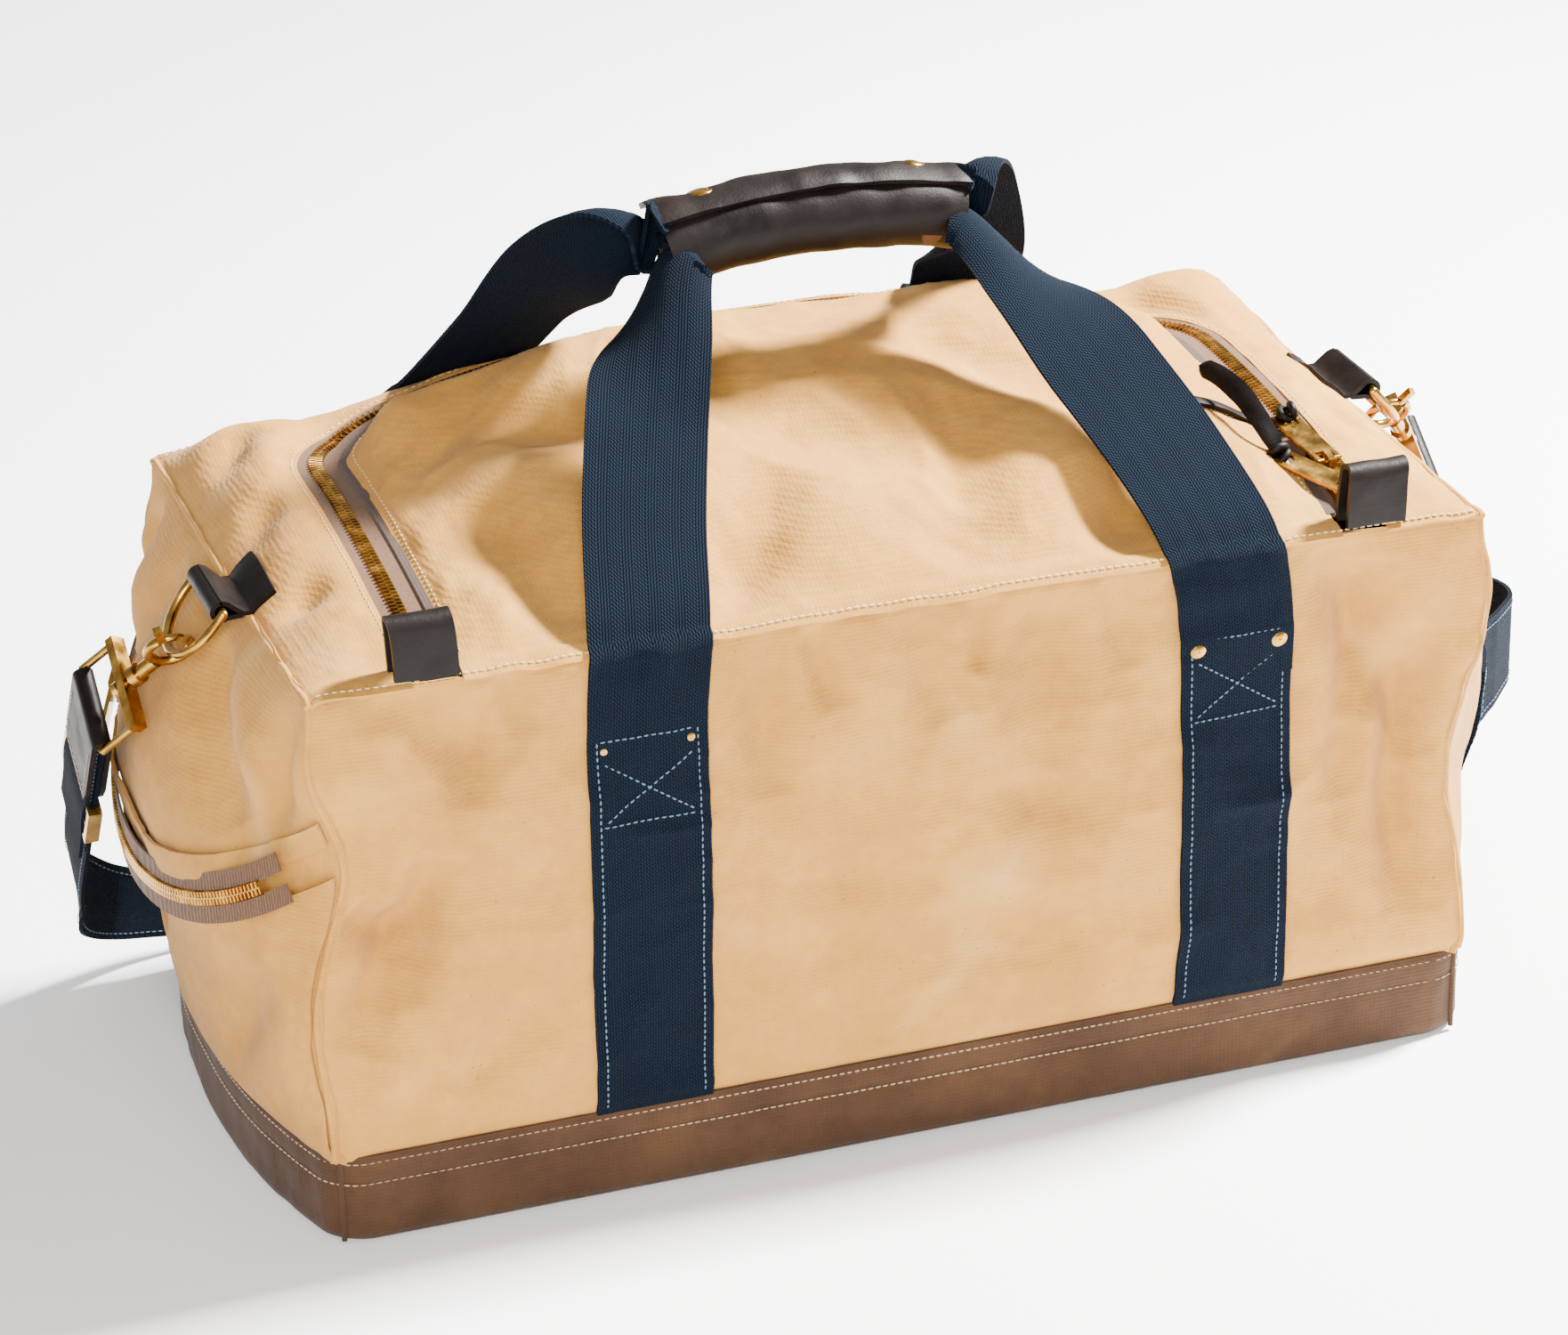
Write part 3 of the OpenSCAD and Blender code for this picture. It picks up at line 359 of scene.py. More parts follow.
def end_point(y, z, side, out=0.0):
    """A point on the left (side -1) or right (side 1) end panel."""
    y, z = np.broadcast_arrays(np.asarray(y, float), np.asarray(z, float))
    p3 = np.stack([0 * y + side * HALF_L, y, z], -1)
    edge = smooth(0, 0.02, HALF_D - np.abs(y)) * smooth(0, 0.02, z - BASE_H) * smooth(0, 0.02, SIDE_H - z)
    folds = sum(crease(np.stack([-side * y, z], -1), *c) for c in END_CREASES)
    pucker = 0.0014 * noise(p3 * [1, 1, 0.25], 0.012, 70) * np.exp(-(SIDE_H - z) / 0.02)
    pucker = pucker + 0.0014 * noise(p3 * [1, 0.25, 1], 0.013, 71) * np.exp(-(HALF_D - np.abs(y)) / 0.02)
    x = end_x(y, z) + edge * (0.0055 * crumple(p3, 80 + side) + 1.6 * folds) + pucker - tucked(z)
    if side < 0:
        x = x + pocket_swell(y, z)
    x = x - rolled(SIDE_H - z) - rolled(HALF_D - np.abs(y))
    return slacken(np.stack([side * (x + out), y, z], -1))


# ---- Materials ----

def linear(hex_colour):
    parts = [int(hex_colour[i:i + 2], 16) / 255 for i in (0, 2, 4)]
    return tuple(c / 12.92 if c <= 0.04045 else ((c + 0.055) / 1.055) ** 2.4 for c in parts) + (1.0,)


def add(tree, kind, inputs=None, **settings):
    """Adds a node; inputs gives a socket's value, or another node's output to link from."""
    node = tree.nodes.new(kind)
    for key, value in settings.items():
        setattr(node, key, value)
    for key, value in (inputs or {}).items():
        if isinstance(value, bpy.types.NodeSocket):
            tree.links.new(value, node.inputs[key])
        else:
            node.inputs[key].default_value = value
    return node


def object_space(tree):
    return add(tree, "ShaderNodeTexCoord").outputs["Object"]


def mottle(tree, at, scale, detail=2.0, **extra):
    """Noise on the object's own coordinates."""
    inputs = {"Vector": at, "Scale": scale, "Detail": detail}
    inputs.update({key.capitalize(): value for key, value in extra.items()})
    return add(tree, "ShaderNodeTexNoise", inputs).outputs["Fac"]


def bump(tree, height, strength, distance, under=None):
    """Surface relief of that height, on top of the relief under it."""
    inputs = {"Height": height, "Strength": strength, "Distance": distance}
    if under is not None:
        inputs["Normal"] = under
    return add(tree, "ShaderNodeBump", inputs).outputs[0]


def maths(tree, kind, *values):
    return add(tree, "ShaderNodeMath", dict(enumerate(values)), operation=kind).outputs[0]


def finish_material(material, tree, bsdf, colour, relief):
    tree.links.new(colour, bsdf.inputs["Base Color"])
    tree.links.new(relief, bsdf.inputs["Normal"])
    return material


def start_material(name, **shader):
    material = bpy.data.materials.new(name)
    material.use_nodes = True
    tree = material.node_tree
    tree.nodes.clear()
    output = add(tree, "ShaderNodeOutputMaterial")
    bsdf = add(tree, "ShaderNodeBsdfPrincipled", shader)
    tree.links.new(bsdf.outputs[0], output.inputs[0])
    return material, tree, bsdf


def ramp(tree, factor, stops):
    node = add(tree, "ShaderNodeValToRGB", {"Fac": factor})
    elements = node.color_ramp.elements
    while len(elements) < len(stops):
        elements.new(0.5)
    for element, (place, colour) in zip(elements, stops):
        element.position = place
        element.color = colour if len(colour) == 4 else (*colour, 1)
    return node.outputs["Color"]


def blend_colour(tree, factor, a, b, mode="MIX"):
    # Inputs 6 and 7 and output 2 are the node's colour sockets
    node = add(tree, "ShaderNodeMix", {0: factor, 6: a, 7: b}, data_type="RGBA", blend_type=mode)
    return node.outputs[2]


def grey(value):
    return (value, value, value, 1)


def waxed_canvas(name, deep, base, pale, chalk, fleck):
    """Waxed cotton duck: matt, mottled where the wax is thin, chalky along creases, with dark cotton flecks."""
    material, tree, bsdf = start_material(name, **{
        "Roughness": 0.85, "Sheen Weight": 0.06, "Sheen Roughness": 0.6, "Specular IOR Level": 0.15})
    at = object_space(tree)
    cloud = mottle(tree, at, 22, 5, roughness=0.6)
    grain = mottle(tree, at, 140, 4, roughness=0.7)
    broad = ramp(tree, cloud, [(0.25, linear(deep)), (0.5, linear(base)), (0.8, linear(pale))])
    fine = ramp(tree, grain, [(0.3, grey(0.4)), (0.7, grey(0.6))])
    colour = blend_colour(tree, 0.55, broad, fine, "SOFT_LIGHT")
    # Chalky marks where the wax has cracked in a crease
    crack = ramp(tree, mottle(tree, at, 5, 1, distortion=0.4), [(0.47, grey(0)), (0.5, grey(1)), (0.53, grey(0))])
    where = ramp(tree, mottle(tree, at, 17), [(0.5, grey(0)), (0.75, grey(0.3))])
    colour = blend_colour(tree, maths(tree, "MULTIPLY", crack, where), colour, linear(chalk))
    # Cotton seed flecks about half a millimetre across
    dots = add(tree, "ShaderNodeTexVoronoi", {"Vector": at, "Scale": 260}).outputs["Distance"]
    speck = ramp(tree, dots, [(0.06, grey(1)), (0.13, grey(0))])
    some = ramp(tree, mottle(tree, at, 90), [(0.58, grey(0)), (0.64, grey(0.75))])
    colour = blend_colour(tree, maths(tree, "MULTIPLY", speck, some), colour, linear(fleck))
    # Plain weave, drawn coarser than the cloth's so that it shows
    waves = [add(tree, "ShaderNodeTexWave", {"Vector": at, "Scale": 175, "Distortion": 1.5, "Detail": 1},
                 bands_direction=axis).outputs["Fac"] for axis in ("X", "Y", "Z")]
    weave = maths(tree, "ADD", maths(tree, "MULTIPLY", waves[0], waves[1]), waves[2])
    relief = bump(tree, weave, 0.22, 0.0004)
    relief = bump(tree, mottle(tree, at, 420, 4), 0.4, 0.0005, relief)
    relief = bump(tree, mottle(tree, at, 45, 5, distortion=0.6), 0.35, 0.003, relief)
    return finish_material(material, tree, bsdf, colour, relief)


def cotton_webbing(name, dark, base, light):
    """Woven cotton webbing: matt, in a herringbone of ribs that run across it and lean one way, then the other; its
    colour follows the ribs' height, with painted shade in the grooves and a painted highlight on the crests.
    """
    material, tree, bsdf = start_material(name, **{"Roughness": 0.95, "Specular IOR Level": 0.1})
    uv = add(tree, "ShaderNodeUVMap", uv_map="UVMap").outputs[0]
    parts = add(tree, "ShaderNodeSeparateXYZ", {0: uv})
    across, along = parts.outputs[0], parts.outputs[1]
    # The lean turns every 5 mm across; each rib is 1.7 mm along and each strand 1.2 mm across
    lean = maths(tree, "ADD", maths(tree, "PINGPONG", across, 5 * MM), along)
    rib = maths(tree, "SINE", maths(tree, "MULTIPLY", lean, 2 * math.pi / (1.7 * MM)))
    strand = maths(tree, "SINE", maths(tree, "MULTIPLY", across, 2 * math.pi / (1.2 * MM)))
    height = maths(tree, "ADD", rib, strand)
    level = add(tree, "ShaderNodeMapRange", {0: height, 1: -2.0, 2: 2.0}).outputs[0]
    # Colour from the ribs' height: painted shade in the grooves between ribs, painted highlight on their crests
    colour = ramp(tree, level, [(0.1, linear(dark)), (0.55, linear(base)), (1.0, linear(light))])
    at = object_space(tree)
    tone = ramp(tree, mottle(tree, at, 60, 5), [(0.3, grey(0.42)), (0.7, grey(0.58))])
    colour = blend_colour(tree, 0.6, colour, tone, "SOFT_LIGHT")
    relief = bump(tree, mottle(tree, at, 900), 0.3, 0.0003, bump(tree, level, 0.75, 0.0009))
    return finish_material(material, tree, bsdf, colour, relief)


def bridle_leather(name, dark, base, worn, rough):
    """Oiled bridle leather: dyed through, with a soft polish, fine pores and paler pull-up marks."""
    material, tree, bsdf = start_material(name, **{"Roughness": rough, "Specular IOR Level": 0.14})
    at = object_space(tree)
    cloud = mottle(tree, at, 38, 6, roughness=0.65)
    colour = ramp(tree, cloud, [(0.35, linear(dark)), (0.55, linear(base)), (0.8, linear(worn))])
    polish = add(tree, "ShaderNodeMapRange", {0: cloud, 1: 0.3, 2: 0.7, 3: rough - 0.1, 4: rough + 0.14})
    tree.links.new(polish.outputs[0], bsdf.inputs["Roughness"])
    pores = add(tree, "ShaderNodeTexVoronoi", {"Vector": at, "Scale": 1100}, feature="SMOOTH_F1")
    relief = bump(tree, pores.outputs["Distance"], 0.22, 0.0003)
    relief = bump(tree, mottle(tree, at, 190, 5), 0.25, 0.0008, relief)
    return finish_material(material, tree, bsdf, colour, relief)


def tumbled_brass(name, dark, base, bright):
    """Solid brass, cast and tumbled: warm yellow metal with a soft polish and faint handling scratches."""
    material, tree, bsdf = start_material(name, **{"Metallic": 1.0, "Roughness": 0.24})
    at = object_space(tree)
    cloud = mottle(tree, at, 120, 4)
    colour = ramp(tree, cloud, [(0.3, linear(dark)), (0.55, linear(base)), (0.8, linear(bright))])
    polish = add(tree, "ShaderNodeMapRange", {0: cloud, 1: 0.3, 2: 0.7, 3: 0.16, 4: 0.36})
    tree.links.new(polish.outputs[0], bsdf.inputs["Roughness"])
    return finish_material(material, tree, bsdf, colour, bump(tree, mottle(tree, at, 700, 3), 0.12, 0.0002))


def spun_cotton(name, dark, base, scale):
    """Cotton thread, woven tape or pressed fibre: matt, with its strands showing as a fine grain in relief, darkened as
    painted shade where that relief is low.
    """
    material, tree, bsdf = start_material(name, **{"Roughness": 0.9, "Sheen Weight": 0.1})
    at = object_space(tree)
    strands = add(tree, "ShaderNodeTexWave", {"Vector": at, "Scale": scale / 4, "Distortion": 2.0})
    both = maths(tree, "MULTIPLY", strands.outputs["Fac"], mottle(tree, at, scale / 3, 3))
    # Colour from the relief's height: painted shade in the hollows between strands
    colour = ramp(tree, both, [(0.05, linear(dark)), (0.5, linear(base))])
    return finish_material(material, tree, bsdf, colour, bump(tree, both, 0.4, 0.0004))


TAN = waxed_canvas("waxed_canvas_tan", "9C6B28", "A97730", "B4843E", "D8BE8C", "583816")
BROWN = waxed_canvas("waxed_canvas_brown", "301C0C", "3B2513", "48301B", "785C3C", "1C1109")
# The webbing's first colour is its painted shade in the rib grooves, and its last colour is its painted highlight on
# the rib crests
NAVY = cotton_webbing("navy_cotton_webbing", "01040A", "030B16", "0A1A2C")
LEATHER = bridle_leather("dark_bridle_leather", "060202", "0C0503", "180C07", 0.5)
FLESH = bridle_leather("leather_flesh_side", "3B2517", "52351F", "6E4A2E", 0.62)
BRASS = tumbled_brass("tumbled_brass", "8A6328", "B0863A", "D2AC60")
# The first colour of each cotton look is its painted shade in the hollows of its grain
TAPE = spun_cotton("cotton_zip_tape", "3A220E", "66421E", 1600)
FOLD = spun_cotton("bound_canvas_edge", "26150A", "40260F", 900)
ECRU = spun_cotton("ecru_thread", "A88C5C", "DCC69A", 2400)
SKY = spun_cotton("pale_blue_thread", "33485E", "5C7288", 2400)
UMBER = spun_cotton("umber_thread", "8C7358", "B79C7C", 2400)
BOARD = spun_cotton("pressed_fibre_board", "3B332C", "4F463D", 300)


# ---- Mesh makers ----

def build(name, points, faces, material, uv=None, sharp=40):
    mesh = bpy.data.meshes.new(name)
    mesh.from_pydata([tuple(p) for p in np.asarray(points, float)], [], [tuple(int(i) for i in f) for f in faces])
    mesh.materials.append(material)
    if uv is not None:
        layer = mesh.uv_layers.new(name="UVMap")
        index = np.zeros(len(mesh.loops), np.int32)
        mesh.loops.foreach_get("vertex_index", index)
        layer.data.foreach_set("uv", np.asarray(uv, np.float32)[index].ravel())
    mesh.shade_smooth()
    mesh.set_sharp_from_angle(angle=math.radians(sharp))
    obj = bpy.data.objects.new(name, mesh)
    bpy.context.scene.collection.objects.link(obj)
    return obj


def grid_normals(grid):
    du = np.gradient(grid, axis=0)
    dv = np.gradient(grid, axis=1)
    return unit(np.cross(du, dv))


def slab(name, grid, thick, material, flip=False, uv=None):
    """A sheet of cloth or leather: grid is its outer face, and it is that thick behind it."""
    grid = np.asarray(grid, float)
    nu, nv = grid.shape[:2]
    n = grid_normals(grid)
    if flip:
        n = -n
    back = grid - n * thick
    points = np.concatenate([grid.reshape(-1, 3), back.reshape(-1, 3)])
    count = nu * nv
    index = np.arange(count).reshape(nu, nv)
    a, b = index[:-1, :-1].ravel(), index[1:, :-1].ravel()
    c, d = index[1:, 1:].ravel(), index[:-1, 1:].ravel()
    front = np.stack([a, b, c, d], -1)
    if flip:
        front = front[:, ::-1]
    rear = front[:, ::-1] + count
    rim = np.concatenate([index[:, 0], index[-1, 1:], index[-2::-1, -1], index[0, -2:0:-1]])
    nxt = np.roll(rim, -1)
    wall = np.stack([nxt, rim, rim + count, nxt + count], -1)
    if flip:
        wall = wall[:, ::-1]
    if uv is None:
        su = run_along(grid[:, nv // 2])
        sv = run_along(grid[nu // 2])
        uv = grid_uv(su, sv)
    uv = np.concatenate([uv.reshape(-1, 2)] * 2)
    return build(name, points, np.concatenate([front, rear, wall]), material, uv, 50)


def curve_through(points, count):
    """Evenly spread points on a smooth curve through the given ones; extra columns are carried along."""
    p = np.asarray(points, float)
    p = np.concatenate([[2 * p[0] - p[1]], p, [2 * p[-1] - p[-2]]])
    out = []
    for i in range(1, len(p) - 2):
        t = np.linspace(0, 1, 24, endpoint=False)[:, None]
        a, b, c, d = p[i - 1], p[i], p[i + 1], p[i + 2]
        out.append(0.5 * (2 * b + (c - a) * t + (2 * a - 5 * b + 4 * c - d) * t**2 + (3 * b - a - 3 * c + d) * t**3))
    out = np.concatenate(out + [p[-2:-1]])
    s = run_along(out[:, :3])
    at = np.linspace(0, s[-1], count)
    return np.stack([np.interp(at, s, out[:, k]) for k in range(out.shape[1])], -1)


def tube(name, path, radius, material, sides, closed=False):
    """A round bar along a path; radius may vary."""
    path = np.asarray(path, float)
    n = len(path)
    radius = np.broadcast_to(np.asarray(radius, float), (n,))
    if closed:
        t = unit(np.roll(path, -1, 0) - np.roll(path, 1, 0))
    else:
        t = unit(np.gradient(path, axis=0))
    ref = np.array([0, 0, 1.0]) if abs(t[0][2]) < 0.9 else np.array([1.0, 0, 0])
    side = unit(np.cross(ref, t[0]))
    rings = []
    for i in range(n):
        side = unit(side - t[i] * (side @ t[i]))
        up = np.cross(t[i], side)
        a = np.arange(sides) / sides * 2 * math.pi
        rings.append(path[i] + radius[i] * (np.cos(a)[:, None] * side + np.sin(a)[:, None] * up))
    points = np.concatenate(rings)
    faces = []
    for i in range(n if closed else n - 1):
        k = (i + 1) % n
        for j in range(sides):
            m = (j + 1) % sides
            faces.append((i * sides + j, i * sides + m, k * sides + m, k * sides + j))
    if not closed:
        faces.append(tuple(range(sides - 1, -1, -1)))
        faces.append(tuple((n - 1) * sides + j for j in range(sides)))
    return build(name, points, faces, material, sharp=60)


def sample(rows, s, at):
    """The rows' values at one distance along them."""
    return np.array([np.interp(at, s, rows[:, k]) for k in range(3)])


def stitches(name, rows, material, pitch=3.3 * MM, length=2.3 * MM, size=0.38 * MM):
    """Sewn thread: one small spindle for each stitch that shows. A row is (points, normals)."""
    points, faces = [], []
    for path, normal in rows:
        path, normal = np.asarray(path, float), np.asarray(normal, float)
        s = run_along(path)
        for start in np.arange(pitch / 2, s[-1] - length, pitch):
            a, b = sample(path, s, start), sample(path, s, start + length)
            n = unit(sample(normal, s, start))
            t = unit(b - a)
            w = np.cross(n, t)
            base = len(points)
            for f, r in ((0, 0.35), (0.25, 1), (0.75, 1), (1, 0.35)):
                c = mix(a, b, f) + n * size * (0.5 * r - 0.15)
                points += [c + w * size * r, c + n * size * r * 0.9, c - w * size * r, c - n * size * r]
            for i in range(3):
                for j in range(4):
                    k = (j + 1) % 4
                    faces.append((base + 4 * i + j, base + 4 * i + k, base + 4 * i + 4 + k, base + 4 * i + 4 + j))
            faces.append((base + 3, base + 2, base + 1, base))
            faces.append((base + 12, base + 13, base + 14, base + 15))
    return build(name, points, faces, material, sharp=80)


def ride(obj, body, slot, *nodes):
    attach(obj, body)
    if nodes:
        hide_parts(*nodes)
    return obj


def join(name, objects):
    """Joins meshes into one piece."""
    bpy.ops.object.select_all(action="DESELECT")
    for o in objects:
        o.select_set(True)
    bpy.context.view_layer.objects.active = objects[0]
    bpy.ops.object.join()
    objects[0].name = name
    return objects[0]


# ---- Canvas body ----

def canvas_sides():
    xs = np.linspace(-HALF_L, HALF_L, 260)
    zs = np.linspace(BASE_H - 1 * MM, SIDE_H, 110)
    x, z = np.meshgrid(xs, zs, indexing="ij")
    ride(slab("canvas_front", side_point(x, z, -1), CANVAS_T, TAN), "shell", "canvas_tan", "front_panel")
    ride(slab("canvas_back", side_point(x, z, 1), CANVAS_T, TAN, flip=True), "shell", "canvas_tan", "back_panel")
    ys = np.linspace(-HALF_D, HALF_D, 170)
    y, z = np.meshgrid(ys, zs, indexing="ij")
    ride(slab("canvas_end_right", end_point(y, z, 1), CANVAS_T, TAN), "shell", "canvas_tan", "right_end_panel")
    left = slab("canvas_end_left", end_point(y, z, -1), CANVAS_T, TAN, flip=True)
    ride(left, "shell", "canvas_tan", "left_end_panel")


def rim_at(a, side, x, y):
    """Point on the top's outer edge for a zip station whose outward direction is at angle a."""
    corner_x, leg_end = ZIP_X - ZIP_R, ZIP_BACK - ZIP_R
    if a >= math.pi / 2 - 1e-9:
        return x, HALF_D
    if a > math.pi / 4:
        return side * mix(HALF_L, corner_x, (a - math.pi / 4) / (math.pi / 4)), HALF_D
    if a > 1e-9:
        return side * HALF_L, mix(leg_end, HALF_D, a / (math.pi / 4))
    return side * HALF_L, y


def zip_line(start, step=2.5 * MM):
    """Stations along the zip from the right leg round to the left: x, y and the outward direction."""
    corner_x, leg_end = ZIP_X - ZIP_R, ZIP_BACK - ZIP_R
    rows = [(ZIP_X, y, 1, 0) for y in np.arange(start, leg_end, step)]
    count = int(ZIP_R * math.pi / 2 / step)
    for i in range(count):
        a = math.pi / 2 * i / count
        rows.append((corner_x + ZIP_R * math.cos(a), leg_end + ZIP_R * math.sin(a), math.cos(a), math.sin(a)))
    rows += [(x, ZIP_BACK, 0, 1) for x in np.arange(corner_x, 0, -step)]
    right = np.array(rows)
    left = right[::-1] * [-1, 1, -1, 1]
    return np.concatenate([right, left])


def canvas_top():
    line = zip_line(-HALF_D, 4 * MM)
    outer = np.array([rim_at(math.atan2(oy, abs(ox)), math.copysign(1, x), x, y) for x, y, ox, oy in line])
    inner = line[:, :2] + line[:, 2:] * (BODY_EDGE + 0.3 * MM)
    t = np.linspace(0, 1, 28)
    xy = mix(inner[:, None], outer[:, None], t[None, :, None])
    top = slab("canvas_top_frame", top_point(xy[..., 0], xy[..., 1]), CANVAS_T, TAN, flip=True)
    ride(top, "shell", "canvas_tan", "top_panel")

    # The lid and the strip in front of it are one cloth, which bends where the lid folds back
    half = ZIP_X - LID_EDGE - 0.3 * MM
    r = ZIP_R - LID_EDGE - 0.3 * MM
    leg_end = ZIP_BACK - ZIP_R
    ys = np.r_[np.linspace(-HALF_D, leg_end, 90), leg_end + r * np.sin(np.linspace(0, math.pi / 2, 16)[1:])]
    widths = np.where(ys <= leg_end, half, ZIP_X - ZIP_R + np.sqrt(np.maximum(r**2 - (ys - leg_end) ** 2, 0)))
    u = np.linspace(-1, 1, 220)
    x = u[:, None] * widths[None, :]
    y = np.broadcast_to(ys[None, :], x.shape)
    lid = slab("canvas_lid", top_point(x, y), CANVAS_T, TAN)
    bend_lid(lid, "canvas_tan", "lid_flap", "top_front_panel")


def bend_lid(obj, slot, *nodes):
    """A piece that lies across the lid's fold: hides the named frame parts and bakes the piece's transform into its
    mesh.
    """
    if nodes:
        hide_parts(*nodes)
    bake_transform(obj)


# ---- Main zip ----

TOOTH_PITCH = 2.5 * MM


def tape_strip(name, line, near, far, material, thick=1.2 * MM, drop=0.5 * MM, columns=5):
    """Tape beside the zip's line, from near to far outward of it and that far below the plain top."""
    rows = line[:, None, :2] + line[:, None, 2:] * np.linspace(near, far, columns)[None, :, None]
    grid = np.stack([rows[..., 0], rows[..., 1], top_z(rows[..., 0], rows[..., 1]) - drop], -1)
    return slab(name, grid, thick, material, flip=far > near)


def tooth_shape(length, width, height):
    """One brass tooth: a bar with a rounded top and a narrower root; X runs along the zip, Y away from it."""
    x, y0, y1, h = length / 2, -0.6 * MM, width, height
    outline = [(-x, 0), (-x, h * 0.55), (-x * 0.55, h), (x * 0.55, h), (x, h * 0.55), (x, 0)]
    points = [(px, y0 + (0.35 * MM if pz > h * 0.6 else 0), pz) for px, pz in outline]
    points += [(px, y1 - (0.5 * MM if pz > h * 0.6 else 0), pz) for px, pz in outline]
    faces = [(5, 4, 3, 2, 1, 0), (6, 7, 8, 9, 10, 11)] + [(i, (i + 1) % 6, (i + 1) % 6 + 6, i + 6) for i in range(6)]
    return np.array(points), faces


def teeth(name, stations, normals):
    """A row of teeth on one tape. A station is (point, direction along, direction away)."""
    shape, shape_faces = tooth_shape(1.45 * MM, TEETH_W - 0.2 * MM, 2.2 * MM)
    points, faces = [], []
    for (p, along, away), up in zip(stations, normals):
        base = len(points)
        for q in shape:
            points.append(p + along * q[0] + away * q[1] + up * (q[2] - 1.3 * MM))
        order = 1 if np.dot(np.cross(along, away), up) > 0 else -1
        faces += [tuple(base + i for i in f[::order]) for f in shape_faces]
    return build(name, points, faces, BRASS, sharp=30)


def zip_stations(start, side, offset):
    """Tooth stations along the U: side 1 is the body's row and -1 the lid's."""
    line = zip_line(start, 1 * MM)
    s = run_along(line[:, :2])
    at = np.arange(offset, s[-1], TOOTH_PITCH)
    rows = np.stack([np.interp(at, s, line[:, k]) for k in range(4)], -1)
    out = unit(np.c_[rows[:, 2:], np.zeros(len(rows))])
    eps = 0.5 * MM
    along_xy = np.stack([-out[:, 1], out[:, 0]], -1)
    z = top_z(rows[:, 0], rows[:, 1])
    dz = top_z(rows[:, 0] + along_xy[:, 0] * eps, rows[:, 1] + along_xy[:, 1] * eps) - z
    along = unit(np.c_[along_xy * eps, dz])
    up = unit(np.cross(out, along))
    points = np.c_[rows[:, :2], z]
    return [(points[i], along[i], out[i] * side) for i in range(len(rows))], np.where(up[:, 2:] < 0, -up, up)


def main_zip():
    start = teeth_box[0].y
    line = zip_line(start)
    tape = tape_strip("zip_tape_body", line, TEETH_W - 1 * MM, BODY_EDGE + 0.2 * MM, TAPE)
    ride(tape, "shell", "zip_tape", "body_zip_tape")
    tape = tape_strip("zip_tape_lid", line, -LID_EDGE, -TEETH_W + 1 * MM, TAPE)
    bend_lid(tape, "zip_tape", "lid_zip_tape", "front_zip_tape")
    # The lid's folded and sewn edge stands a little over its tape
    near, far = -LID_EDGE - 1.5 * MM, -LID_EDGE + 2.2 * MM
    edge = tape_strip("lid_bound_edge", line, near, far, FOLD, 1.6 * MM, -0.5 * MM, 7)
    bend_lid(edge, "canvas_tan")
    ride(teeth("zip_teeth_body", *zip_stations(start, 1, 1 * MM)), "shell", "brass", "body_zip_teeth")
    lid_row = teeth("zip_teeth_lid", *zip_stations(start, -1, 1 * MM + TOOTH_PITCH / 2))
    bend_lid(lid_row, "brass", "lid_zip_teeth", "front_zip_teeth")


# ---- Base ----

def base_outline(inset, count=360):
    """The base's outline: straight at the front and back, bowed at the ends, with rounded corners."""
    r = 14 * MM
    t = np.linspace(-math.pi / 2, math.pi / 2, count // 2)
    y = (HALF_D - inset) * np.sin(t)
    over = np.maximum(0, np.abs(y) * HALF_D / (HALF_D - inset) - (HALF_D - r))
    x = end_x(y, BASE_H) - inset - (r - np.sqrt(np.maximum(0, r**2 - over**2)))
    right = np.stack([x, y], -1)
    front_back = np.linspace(1, -1, count // 3)[1:-1]
    top = np.stack([front_back * right[-1, 0], 0 * front_back + right[-1, 1]], -1)
    half = np.concatenate([right, top])
    return np.concatenate([half, -half])


